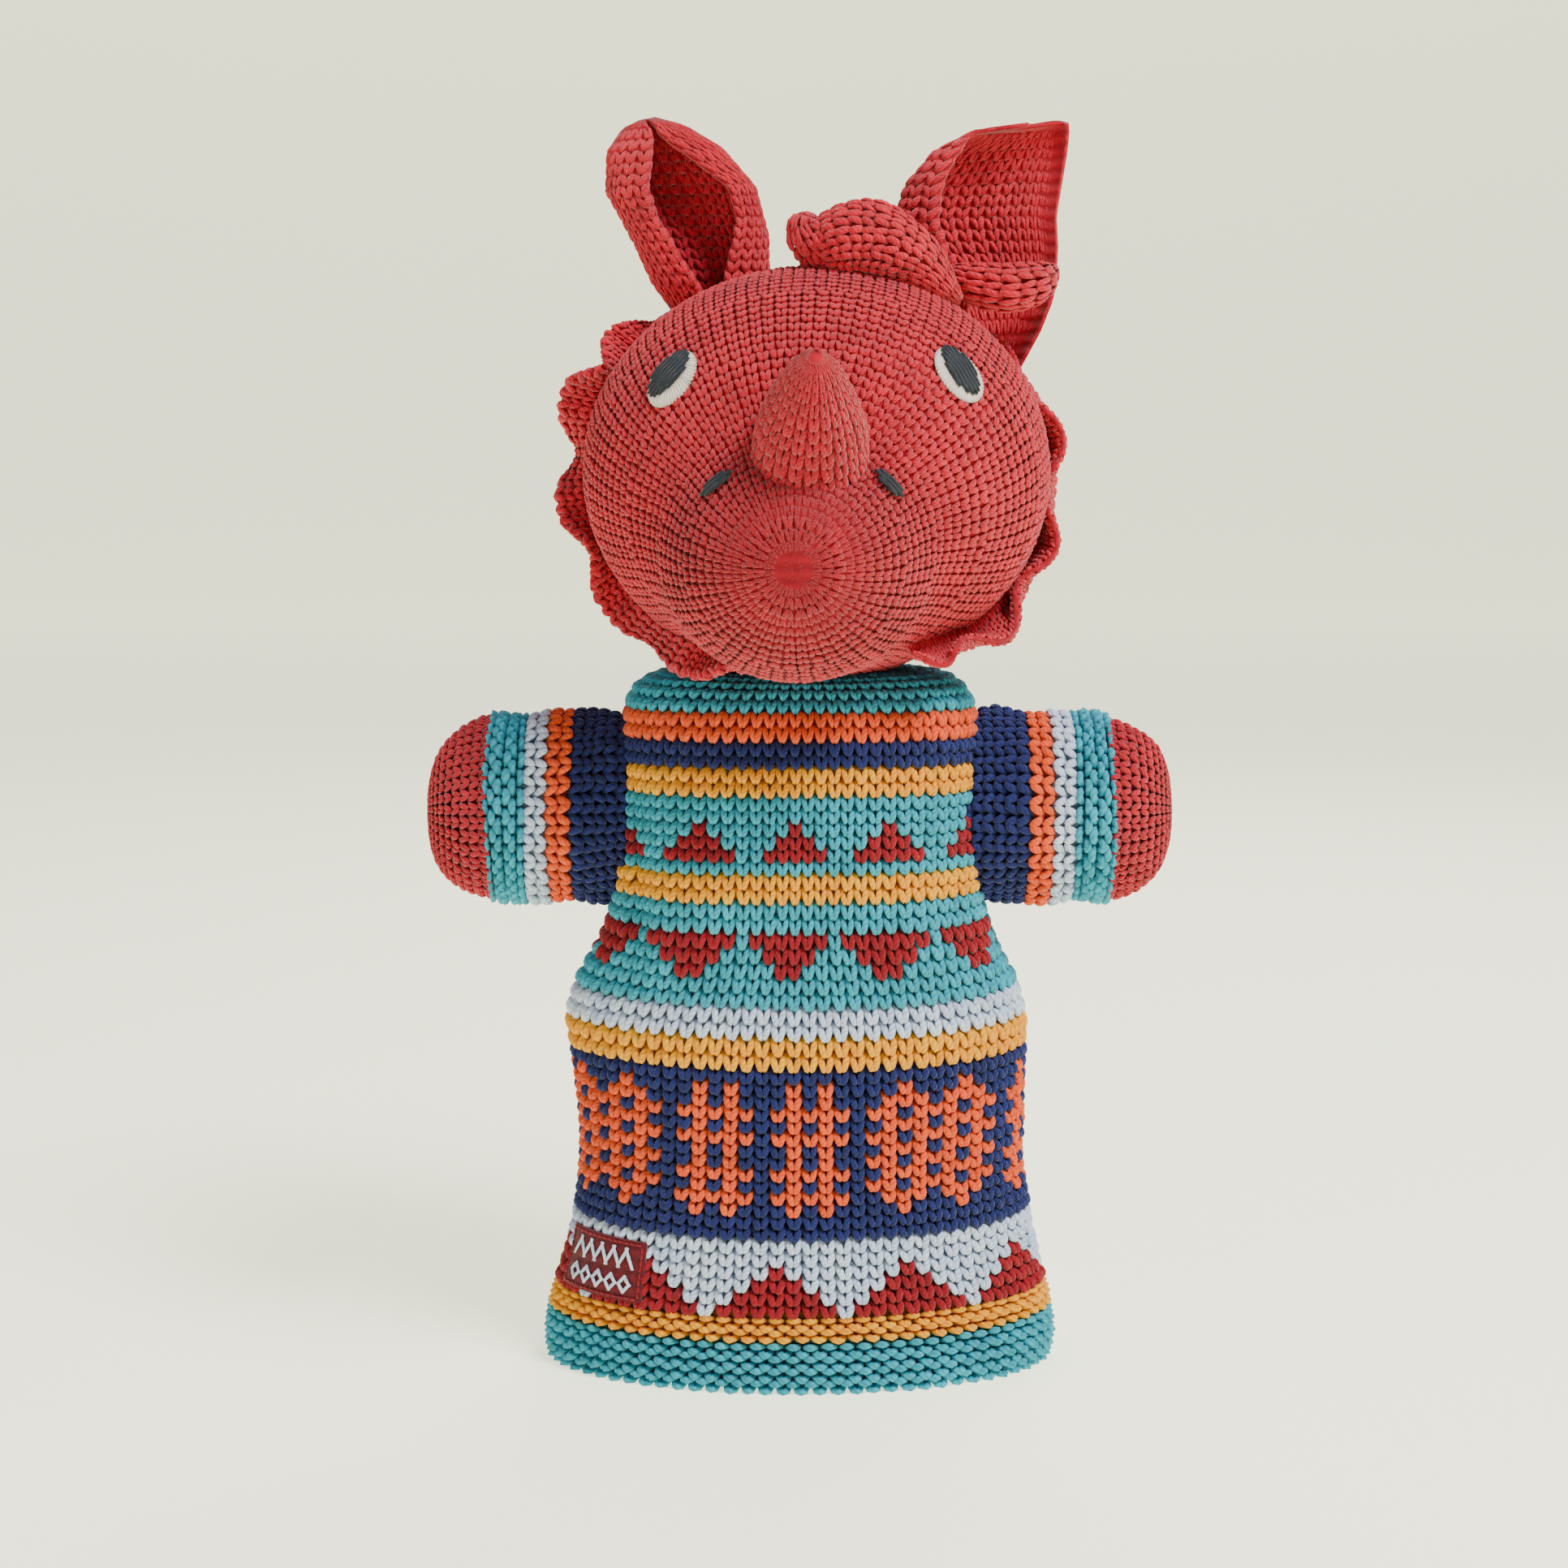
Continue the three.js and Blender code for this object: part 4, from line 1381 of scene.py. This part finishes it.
def oval(angle: float, half: tuple[float, float],
         middle: tuple[float, float] = (0.0, 0.0)) -> tuple[float, float]:
    """A point on an oval, by its angle clockwise from the top."""
    return middle[0] + half[0] * math.sin(angle), middle[1] + half[1] * math.cos(angle)


@dataclass
class Head:
    """The stuffed head: its knitting, embroidery, horn, ears, crest and frill.

    Each zone has a name, how many columns go round it, and where it starts and ends in millimetres of cloth
    from the muzzle's tip.
    """

    kit: Kit
    axis_y: float
    zones: tuple[tuple[str, int, float, float], ...] = (
        ("gather", 24, 1.2, 10.8), ("muzzle", 48, 10.8, 27.6), ("lip", 60, 27.6, 39.6),
        ("cheeks", 78, 39.6, 54.0), ("face", 98, 54.0, 73.2), ("brow", 120, 73.2, 97.2),
        ("crown", 120, 97.2, 121.2), ("back", 98, 121.2, 138.0), ("nape", 68, 138.0, 152.4),
        ("knot", 34, 152.4, 400.0))

    def __post_init__(self) -> None:
        """Sets up the head's shape."""
        self.shape = HeadShape(self.axis_y)

    def make(self) -> None:
        """Builds every piece of the head."""
        self.make_knit()
        self.make_core()
        self.make_eyes()
        self.make_nostrils()
        Trimmings(self.kit, self.axis_y, self.shape).make()

    @staticmethod
    def dye(_: ArrayF, gone: ArrayF) -> ArrayF:
        """The head's red, darkened as painted shade over the muzzle and most of all at its tip, by
        millimetres from the muzzle's tip.
        """
        # Painted shade: the red turns towards the dark red over the muzzle, and more so at its gathered tip.
        painted_muzzle_shade = (0.62 * (1 - smooth(16, 56, gone)) + 0.34 * (1 - smooth(1, 10, gone)))[..., None]
        return np.array(Yarn.HEAD_RED.value) * (1 - painted_muzzle_shade) + np.array(Yarn.DARK_RED.value) * painted_muzzle_shade

    def make_knit(self) -> None:
        """Lays the fine stitches, ring by ring from the muzzle's tip to the nape."""
        knit = self.kit.knitter
        hole_radius, hole_top = 15, 175
        for name, columns, low, high in self.zones:
            surface = HeadKnit(self.shape, columns)
            row = surface.row
            high = min(high, self.shape.length - 0.6)
            places = stitch_grid(columns, np.arange(low / row, high / row - 0.5))
            spots = surface.point(places[:, 0], places[:, 1])
            hole = np.hypot(spots[:, 0], spots[:, 1] - self.axis_y) < hole_radius
            places = places[~(hole & (spots[:, 2] < hole_top))]
            dyes = self.dye(places[:, 0], places[:, 1] * row)
            piece = knit.lay(f"head_{name}", surface, places, dyes, knit.fine, self.kit.fuzzy, lift=0.62,
                             gauge=3.2)
            self.kit.wear(piece, "head", "red_knit")

    def make_core(self) -> None:
        """Makes the smooth stuffed body of the head behind the stitches, open at the neck."""
        surface = HeadKnit(self.shape, 96, 1.0)
        end = self.shape.length
        rows = np.concatenate([[0.02], np.arange(1.0, end - 1, 2.0), [end - 0.02]])
        core = self.kit.knitter.lining("head_core", surface, np.arange(0, surface.columns, 1.0), rows,
                                       self.dye, self.kit.cloth, outer=0.45, inner=-1.4)
        low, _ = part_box("neck_seam")
        neck = np.array([0, self.axis_y, low.z / MM - 4])
        cut_ball(core, neck, (16.0, 16.0, 16.0))
        self.kit.wear(core, "head", "red_knit", "head_cover")
        filling = self.kit.knitter.stuffing("head_filling", surface, surface.columns,
                                            np.linspace(3, end - 3, 40), 3.0, self.kit.cloth)
        cut_ball(filling, neck + np.array([0, 0, 20.0]), (14.6, 14.6, 44.0))
        self.kit.wear(filling, "head", "stuffing", "head_stuffing")
        spot = self.shape.onto((np.array(self.shape.nose) + [0, self.axis_y, 0])[None])[0]
        patch = HeadPatch(self.shape, spot)
        around = np.linspace(0, 2 * math.pi, 12, endpoint=False)
        pulls = [(oval(a, (0.9, 0.9)), oval(a + 0.1, (2.4, 2.4))) for a in around]
        gather = embroider(self.kit, "gather_thread", patch, pulls, 0.34, Yarn.DARK_RED, 0.1)
        self.kit.wear(gather, "head", "red_knit", "muzzle_gather")

    def make_eyes(self) -> None:
        """Embroiders the off-white ovals and the slate pupils."""
        for side, shift in ((Side.LEFT, (-1.1, 0.5)), (Side.RIGHT, (0.5, 0.5))):
            low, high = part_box(f"eye_white_{side.word}")
            middle = np.array((low + high) / 2) / MM
            patch = HeadPatch(self.shape, middle, side.value * 0.42)
            white, pupil = (5.3, 6.3), (3.5, 4.4)
            around = np.linspace(0, 2 * math.pi, 46, endpoint=False)
            rays = [(oval(a, (pupil[0] * 0.8, pupil[1] * 0.8), shift), oval(a + 0.06, white)) for a in around]
            ring = embroider(self.kit, f"eye_thread_{side.word}", patch, rays, 0.52, Yarn.EYE_WHITE, 1.3)
            self.kit.wear(ring, "head", "eye_thread", f"eye_white_{side.word}")
            lines = np.linspace(-0.88, 0.88, 7)
            bars = []
            for line in lines:
                tall = pupil[1] * math.sqrt(1 - line * line)
                x = shift[0] + pupil[0] * line
                bars.append(((x - 0.3, shift[1] - tall), (x + 0.3, shift[1] + tall)))
            disc = embroider(self.kit, f"pupil_thread_{side.word}", patch, bars, 0.62, Yarn.SLATE, 1.9)
            self.kit.wear(disc, "head", "pupil_thread", f"pupil_{side.word}")

    def make_nostrils(self) -> None:
        """Embroiders the two short slanting nostrils."""
        for side in Side:
            low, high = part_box(f"nostril_{side.word}")
            middle = np.array((low + high) / 2) / MM
            patch = HeadPatch(self.shape, middle, side.value * 0.75)
            bars = [((x, -tall), (x + 0.1, tall)) for x, tall in ((-1.1, 1.9), (0.0, 2.9), (1.1, 2.3))]
            mark = embroider(self.kit, f"nostril_thread_{side.word}", patch, bars, 0.7, Yarn.SLATE, 1.6)
            self.kit.wear(mark, "head", "pupil_thread", f"nostril_{side.word}")


@dataclass
class TubeSurface(Surface):
    """A round, closing tube of cloth along a curved middle line, read from its root to its tip."""

    middle: Sequence[tuple[float, float, float]]
    radius: Sequence[float]
    columns: int
    rows: float
    flat: float = 1.0
    lumps: float = 0.0
    side: tuple[float, float, float] = (1.0, 0.0, 0.0)

    def __post_init__(self) -> None:
        """Smooths the middle line and the widths."""
        share = np.linspace(0, 1, len(self.middle))
        self._fine = np.linspace(0, 1, 121)
        pad = 10
        kernel = np.ones(2 * pad + 1) / (2 * pad + 1)
        tracks = [np.pad(np.interp(self._fine, share, axis), pad, "reflect", reflect_type="odd")
                  for axis in np.array(self.middle, float).T]
        self._line = np.stack([np.convolve(track, kernel, "valid") for track in tracks], axis=1)
        widths = np.linspace(0, 1, len(self.radius))
        self._radius = np.interp(self._fine, widths, self.radius)

    def point(self, across: ArrayF, along: ArrayF) -> ArrayF:
        """The points at these columns and rows, in millimetres."""
        share = np.clip(np.asarray(along) / self.rows, -0.02, 1.02)
        across = np.asarray(across)
        share, across = np.broadcast_arrays(share, across)
        step = 0.01
        behind, centre, ahead = (np.stack([np.interp(at, self._fine, axis) for axis in self._line.T], axis=-1)
                                 for at in (share - step, share, share + step))
        ahead = ahead - behind
        ahead = ahead / np.maximum(np.linalg.norm(ahead, axis=-1, keepdims=True), 1e-9)
        first = np.array(self.side) - ahead * (ahead @ np.array(self.side))[..., None]
        first = first / np.linalg.norm(first, axis=-1, keepdims=True)
        second = np.cross(ahead, first)
        turn = across / self.columns * 2 * math.pi
        radius = np.interp(share, self._fine, self._radius)
        radius = radius * (1 + self.lumps * np.sin(2 * turn + 7 * share) * np.cos(9 * share + 1))
        return centre + first * (radius * np.cos(turn))[..., None] + second * (
            radius * self.flat * np.sin(turn))[..., None]


@dataclass
class EarSurface(Surface):
    """An ear: a leaf of cloth with its edges rolled forwards, read from -columns/2 to columns/2.

    Attributes:
        axis_y: Where the gown's axis lies.
        spine: From the root to the tip, the share of the rows, the middle's place, and half the ear's width.
        roll: The share of the rows, and how far the left and the right edge roll round, in degrees.
        columns: How many columns it has.
        rows: How many rows it has.
        depth: How deep the roll is, as a share of its width.
    """

    axis_y: float
    spine: Sequence[tuple[float, float, float, float, float]]
    roll: Sequence[tuple[float, float, float]]
    columns: int
    rows: int
    depth: float = 0.42

    def point(self, across: ArrayF, along: ArrayF) -> ArrayF:
        """The points at these columns and rows, in millimetres."""
        share = np.asarray(along) / self.rows
        across, share = np.broadcast_arrays(np.asarray(across) / (self.columns / 2), share)
        up, *tracks = np.array(self.spine, float).T
        x, y, z, half = (np.interp(share, up, track) for track in tracks)
        level, left, right = np.array(self.roll, float).T
        left, right = np.interp(share, level, left), np.interp(share, level, right)
        turn = np.radians((left + right) / 2 * across + (right - left) / 2 * across ** 2)
        crinkle = 0.5 * np.sin(4 * across + 5 * share)
        return stack(x + half * np.sin(turn), self.axis_y + y + half * self.depth * np.cos(turn) + crinkle,
                     z + 0.06 * half * np.cos(turn) + 0.4 * np.sin(3 * across))


@dataclass
class FrillSurface(Surface):
    """A ruffled strip that stands off the head round a cheek.

    Attributes:
        shape: The head that it is sewn to.
        course: Along the strip, its degrees round the face, its depth, its width, and its lean forwards.
        ruffles: How many waves it has.
        swing: How far each wave leans to and fro, in degrees.
        columns: How many columns it has.
        rows: How many rows stand off the head.
        phase: Where the first wave starts.
        fold: How far its edge is folded forwards, from 0 to 1.
    """

    shape: HeadShape
    course: Sequence[tuple[float, float, float, float]]
    ruffles: float
    swing: float
    columns: int
    rows: int
    phase: float = 0.0
    fold: float = 0.0

    def point(self, across: ArrayF, along: ArrayF) -> ArrayF:
        """The points at these columns and rows, in millimetres."""
        share = np.asarray(across) / self.columns + 0.5
        share, out = np.broadcast_arrays(share, np.asarray(along) / self.rows)
        steps = np.linspace(0, 1, len(self.course))
        tracks = np.array(self.course, float).T
        degrees, depth, width, lean = (np.interp(share, steps, track) for track in tracks)
        turn = np.radians(degrees)
        skull = np.array(self.shape.skull)
        way = np.stack([np.cos(turn), np.zeros_like(turn), np.sin(turn)], axis=-1)
        spot = skull + way * 40
        spot[..., 1] = depth
        root = self.shape.onto(spot + [0, self.shape.axis_y, 0])
        swell = np.sin(2 * math.pi * self.ruffles * share + self.phase)
        wave = np.sign(swell) * np.abs(swell) ** 1.8
        curl = np.radians(lean + self.swing * wave) * (0.5 + 0.5 * out)
        stand, ahead = out * np.cos(curl), out * np.sin(curl)
        edge = np.clip((out - 0.4) / 0.6, 0, 1)
        rolled = 0.5 * np.sin(math.pi / 2 * np.minimum(1, out / 0.45)) + 0.22 * swell * edge
        stand = stand * (1 - self.fold) + rolled * self.fold
        ahead = ahead * (1 - self.fold) + 0.8 * np.clip((out - 0.25) / 0.75, 0, 1) * self.fold
        forward = np.array([0, -1.0, 0])
        return root + way * (width * stand - 0.8)[..., None] + forward * (width * ahead)[..., None]


WALL_SHADE = 0.75  # how strong the red is of the cloth behind an ear's or a roll's stitches


@dataclass
class Trimmings:
    """What is sewn to the head: the horn, the two ears, the crest and the frill round each cheek."""

    kit: Kit
    axis_y: float
    shape: HeadShape

    def make(self) -> None:
        """Builds every trimming."""
        self.make_horn()
        self.make_crest()
        self.make_ears()
        self.make_frills()
        self.make_pocket()

    def here(self, *spots: tuple[float, float, float]) -> list[tuple[float, float, float]]:
        """Places measured from the gown's axis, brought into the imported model's frame."""
        return [(x, y + self.axis_y, z) for x, y, z in spots]

    def make_horn(self) -> None:
        """Knits the stuffed horn over the muzzle."""
        knit = self.kit.knitter
        columns, rows = 22, 15
        middle = self.here((1.6, -49, 198.5), (1.8, -57, 207.5), (2.2, -66, 216.5), (2.6, -74, 223.5),
                           (2.9, -80.0, 228.4))
        horn = TubeSurface(middle, [11.8, 11.7, 11.2, 10.1, 8.4, 6.2, 3.9, 0.4], columns, rows, lumps=0.02)
        places = stitch_grid(columns, np.arange(rows), rise=-0.1)
        cover = knit.lay("horn_knit", horn, places, dyed(Yarn.RED, places), knit.fine, self.kit.fuzzy,
                         lift=0.62, gauge=3.0)
        self.kit.wear(cover, "head", "red_knit", "nose_horn")
        # The wall's red is cut to 0.8 as painted shade in the gaps between the stitches.
        wall = knit.lining("horn_wall", horn, np.arange(0, columns, 0.5), np.linspace(0, rows - 0.05, 30),
                           one_dye(Yarn.HEAD_RED, 0.8), self.kit.cloth, outer=0.2, inner=-1.2)
        self.kit.wear(wall, "head", "red_knit")
        filling = knit.stuffing("horn_filling", horn, columns, np.linspace(0.6, rows - 2.2, 12), 2.2,
                                self.kit.cloth)
        self.kit.wear(filling, "head", "stuffing", "horn_stuffing")

    def make_crest(self) -> None:
        """Knits the crumpled crest: a soft flap with a rolled knob at its left end."""
        middle = self.here((3.5, -19, 253.5), (10, -20, 256.2), (18, -20, 256.0), (26, -18, 252.0),
                           (36, -13, 243.5))
        flap = TubeSurface(middle, [3.0, 7.0, 8.2, 8.4, 8.2, 7.4, 6.0, 4.2, 1.2], 15, 14, flat=0.72,
                           lumps=0.09, side=(0, 0, 1.0))
        middle = self.here((8.0, -17, 252.0), (4.5, -18, 256.0), (1.5, -18.5, 259.5), (2.5, -18.5, 262.5))
        knob = TubeSurface(middle, [4.0, 5.6, 6.0, 5.2, 3.4, 0.8], 12, 6, flat=0.85, lumps=0.06,
                           side=(0, 1.0, 0))
        self._soft_roll("crest_flap", flap, "crest", "crest")
        self._soft_roll("crest_knob", knob, "crest")

    def _soft_roll(self, name: str, surface: TubeSurface, body: str, *nodes: str) -> None:
        """Knits a small padded roll, with its stitches over a soft core.

        Args:
            name: What its two pieces' names start with.
            surface: The roll's outside.
            body: The body it moves with.
            nodes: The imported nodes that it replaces.
        """
        knit = self.kit.knitter
        places = stitch_grid(surface.columns, np.arange(surface.rows), rise=0.05)
        cover = knit.lay(f"{name}_knit", surface, places, dyed(Yarn.HEAD_RED, places), knit.fine,
                         self.kit.fuzzy, lift=0.6, gauge=3.2)
        self.kit.wear(cover, body, "red_knit", *nodes)
        core = knit.stuffing(f"{name}_core", surface, surface.columns,
                             np.linspace(0.3, surface.rows - 0.3, 20), 0.0, self.kit.cloth)
        layer = core.data.color_attributes["Dye"]
        shaded = [*(np.array(Yarn.HEAD_RED.value) * WALL_SHADE), 1.0]
        layer.data.foreach_set("color", np.tile(shaded, len(layer.data)).astype(np.float32))
        self.kit.wear(core, body, "red_knit")

    def _thin_cloth(self, part: str, side: Side, surface: Surface, body: str, flat: tuple[float, float],
                    grid: tuple[int, int], share: float, lift: float) -> None:
        """Knits one thin piece: a wall of cloth, and the stitches on both its faces.

        Args:
            part: What it is, an ear or a frill.
            side: Which side it is on.
            surface: The cloth's middle, read from -columns/2 to columns/2.
            body: The body it moves with.
            flat: The cloth's size before it was shaped, in metres; not used.
            grid: How many corners the wall has across and along.
            share: How strong the wall's red is; below 1 it is painted shade between the stitches.
            lift: How far the yarn stands out, as a share of a stitch's width.
        """
        knit, half = self.kit.knitter, surface.columns / 2
        wall = knit.lining(f"{part}_wall_{side.word}", surface, np.linspace(-half, half, grid[0]),
                           np.linspace(0, surface.rows, grid[1]), one_dye(Yarn.HEAD_RED, share),
                           self.kit.cloth, outer=0.5, inner=-0.5, closed_round=False)
        self.kit.wear(wall, body, "red_knit", f"{part}_{side.word}")
        cloth = knit.both_faces(f"{part}_knit_{side.word}", surface, surface.columns, surface.rows,
                                Yarn.HEAD_RED, self.kit.fuzzy, lift, 3.0)
        self.kit.wear(cloth, body, "red_knit")

    def make_ears(self) -> None:
        """Knits the left ear, rolled nearly shut, and the right ear, open with a folded lip at its foot."""
        left = EarSurface(self.axis_y, (
            (0.0, -19.0, 2.0, 242.0, 9.5), (0.18, -20.5, 0.5, 249.0, 13.0), (0.40, -22.8, 1.0, 259.0, 15.2),
            (0.65, -27.2, 2.0, 270.0, 16.8), (0.84, -31.0, 3.0, 279.0, 13.0), (0.95, -33.6, 3.4, 284.2, 7.0),
            (1.0, -35.2, 3.4, 286.0, 1.6)), (
            (0.0, 172, 172), (0.14, 171, 169), (0.32, 158, 156), (0.5, 151, 140), (0.68, 156, 138),
            (0.82, 166, 158), (0.93, 176, 176), (1.0, 170, 170)), 24, 18)
        right = EarSurface(self.axis_y, (
            (0.0, 45.0, 3.0, 229.0, 5.6), (0.12, 46.4, 2.4, 237.6, 8.8), (0.22, 46.2, 2.0, 244.4, 11.6),
            (0.32, 45.2, 2.0, 250.0, 14.0), (0.44, 42.6, 2.4, 257.0, 17.2), (0.56, 41.2, 3.0, 263.6, 18.5),
            (0.70, 42.8, 3.5, 271.0, 18.0), (0.84, 46.4, 3.0, 278.8, 15.4), (0.94, 50.8, 2.4, 283.4, 11.0),
            (1.0, 57.0, 2.0, 285.0, 4.4)), (
            (0.0, 120, 110), (0.15, 130, 100), (0.32, 150, 80), (0.6, 148, 76), (0.85, 138, 78),
            (1.0, 90, 84)), 21, 20)
        for side, surface, flat in ((Side.LEFT, left, (0.060, 0.046)), (Side.RIGHT, right, (0.056, 0.050))):
            self._thin_cloth("ear", side, surface, f"ear_{side.word}", flat, (60, 48), WALL_SHADE,
                             0.62)
        middle = self.here((32.5, -5, 251.0), (39, -9, 247.6), (47, -10, 246.4), (54, -8, 248.0),
                           (58.6, -3, 251.4))
        lip = TubeSurface(middle, [1.0, 3.4, 4.4, 4.6, 4.4, 3.4, 1.0], 9, 9, flat=0.7, side=(0, 0, 1.0))
        self._soft_roll("ear_lip", lip, "ear_right")

    def make_frills(self) -> None:
        """Knits the ruffled strip round each cheek."""
        left = FrillSurface(self.shape, (
            (250, -34, 8, 35), (236, -26, 9.5, 25), (216, -8, 9.5, 6), (196, -3, 10.5, 0),
            (178, -3, 11.5, 0), (160, -3, 12.5, 0), (146, -3, 10, 8), (134, -3, 4, 12)),
            2.7, 58, 44, 5, phase=1.2)
        right = FrillSurface(self.shape, (
            (38, -3, 5, 0), (22, -2, 9, 0), (4, -1, 12, 0), (-14, -1, 12.5, 0), (-30, -5, 12.5, 0),
            (-44, -16, 12.5, 0), (-54, -26, 12, 0), (-63, -32, 10, 0)),
            4.6, 24, 42, 5, phase=0.4, fold=1.0)
        for side, surface, flat in ((Side.LEFT, left, (0.125, 0.010)), (Side.RIGHT, right, (0.115, 0.010))):
            self._thin_cloth("frill", side, surface, "head", flat, (120, 10), 0.7, 0.6)

    def make_pocket(self) -> None:
        """Makes the finger pocket of plain cloth inside the head."""
        low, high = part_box("finger_pocket")
        bottom, top = low.z / MM, high.z / MM
        middle = self.here(*((0, 0, up) for up in (bottom + 1, bottom + (top - bottom) / 2, top - 0.5)))
        pocket = TubeSurface(middle, [12.6] * 8 + [12.2, 10.4, 0.4], 32, 20)
        wall = self.kit.knitter.lining(
            "pocket_cloth", pocket, np.arange(pocket.columns), np.linspace(0, pocket.rows, 24),
            one_dye(Yarn.HEAD_RED, 0.7), self.kit.cloth, outer=0.4, inner=-0.6)
        self.kit.wear(wall, "head", "red_knit", "finger_pocket")


# ---- the studio -----------------------------------------------------------------------------------


@dataclass
class Studio:
    """The pale floor, the soft lights and the camera.

    Attributes:
        middle: The gown's axis.
        distance: How far in front of it the camera stands, in metres.
        height: The camera's height, in metres.
        aim: The height that the camera is turned towards, in metres.
        view: How wide the picture is at the gown's axis, in metres.
        rise: How far the lens is shifted up, as a share of the picture's width.
        shift: How far the camera stands aside from the gown's axis, in metres.
        glow: How brightly the paper is lit of itself.
    """

    middle: Vector
    distance: float = 0.62
    height: float = 0.198
    aim: float = 0.165
    view: float = 0.3622
    rise: float = -0.088
    shift: float = -0.0036
    glow: float = 1.25

    def make(self) -> None:
        """Builds the floor, lights and camera."""
        self.make_floor()
        self.make_lights()
        self.make_camera()

    def make_floor(self) -> None:
        """Sweeps a sheet of cream paper from the floor up behind the puppet."""
        shader = Shader("studio_paper")
        cream = (*linear(255, 255, 226), 1)
        surface = shader.add("BsdfPrincipled", Base_Color=cream, Roughness=0.9, Emission_Color=cream,
                             Emission_Strength=self.glow)
        size, back = 8, 1.5
        bpy.ops.object.select_all(action="DESELECT")
        bpy.ops.mesh.primitive_plane_add(size=size, location=(0, back, 0))
        floor = bpy.context.object
        floor.name = "studio_floor"
        bpy.ops.object.mode_set(mode="EDIT")
        bpy.ops.mesh.select_all(action="DESELECT")
        bpy.ops.object.mode_set(mode="OBJECT")
        for edge in floor.data.edges:
            edge.select = all(floor.data.vertices[v].co.y > size / 2 - 0.1 for v in edge.vertices)
        bpy.ops.object.mode_set(mode="EDIT")
        bpy.ops.mesh.select_mode(type="EDGE")
        bpy.ops.mesh.extrude_region_move(TRANSFORM_OT_translate={"value": (0, 0, 5)})
        bpy.ops.object.mode_set(mode="OBJECT")
        sweep = floor.modifiers.new("sweep", "BEVEL")
        sweep.width = 1.5
        sweep.segments = 24
        bpy.ops.object.modifier_apply(modifier="sweep")
        bpy.ops.object.shade_smooth()
        floor.data.materials.append(shader.close(surface))

    def make_lights(self) -> None:
        """Hangs the key, the fill and the rim, and fills the air with soft light."""
        self._light("key", (0.6, -0.6, 1.25), 0.45, 29.0)
        self._light("fill", (-0.95, -0.8, 0.7), 0.8, 3.0)
        self._light("rim", (0.3, 0.9, 0.9), 0.6, 6.0)
        world = bpy.data.worlds.new("studio_air")
        bpy.context.scene.world = world
        world.use_nodes = True
        air = world.node_tree.nodes["Background"].inputs
        air["Color"].default_value = (1.0, 0.995, 0.93, 1)
        air["Strength"].default_value = 0.22

    def make_camera(self) -> None:
        """Stands the camera a little over the puppet's middle, looking straight at its front."""
        data = bpy.data.cameras.new("camera")
        camera = bpy.data.objects.new("camera", data)
        bpy.context.scene.collection.objects.link(camera)
        aside = self.middle.x + self.shift
        camera.location = (aside, self.middle.y - self.distance, self.height)
        target = Vector((aside, self.middle.y, self.aim))
        camera.rotation_euler = (target - camera.location).to_track_quat("-Z", "Y").to_euler()
        data.sensor_width = 36
        data.lens = data.sensor_width * self.distance / self.view
        data.shift_y = self.rise
        data.clip_start = 0.01
        bpy.context.scene.camera = camera

    @staticmethod
    def _light(name: str, place: tuple[float, float, float], size: float, power: float) -> None:
        """Adds a soft square light aimed at the puppet's middle.

        Args:
            name: What the light is called.
            place: Where it hangs, in metres.
            size: How wide it is, in metres.
            power: How strong it is, in watts.
        """
        data = bpy.data.lights.new(name, "AREA")
        data.size = size
        data.energy = power
        lamp = bpy.data.objects.new(name, data)
        bpy.context.scene.collection.objects.link(lamp)
        lamp.location = place
        lamp.rotation_euler = (Vector((0, 0, 0.14)) - lamp.location).to_track_quat("-Z", "Y").to_euler()


def main() -> None:
    """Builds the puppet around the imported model."""
    logging.basicConfig(level=logging.INFO, format="%(name)s %(message)s")
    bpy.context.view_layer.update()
    joints = {j["name"]: np.array(j["pos_m"]) / MM for j in frame["joints"]}
    low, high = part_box("hem_band")
    axis_y = (low.y + high.y) / 2 / MM
    Studio(Vector((0, axis_y * MM, 0))).make()
    kit = Kit(Knitter(), YarnFinish("cotton_yarn").make(),
              YarnFinish("brushed_yarn", fuzz=0.28, bloom=0.10).make(),
              LiningFinish("lining").make(), LiningFinish("woven_label").make(), joints)
    Gown(kit, axis_y).make()
    for side in Side:
        Arm(kit, side).make()
    Head(kit, axis_y).make()


if __name__ == "__main__":
    main()
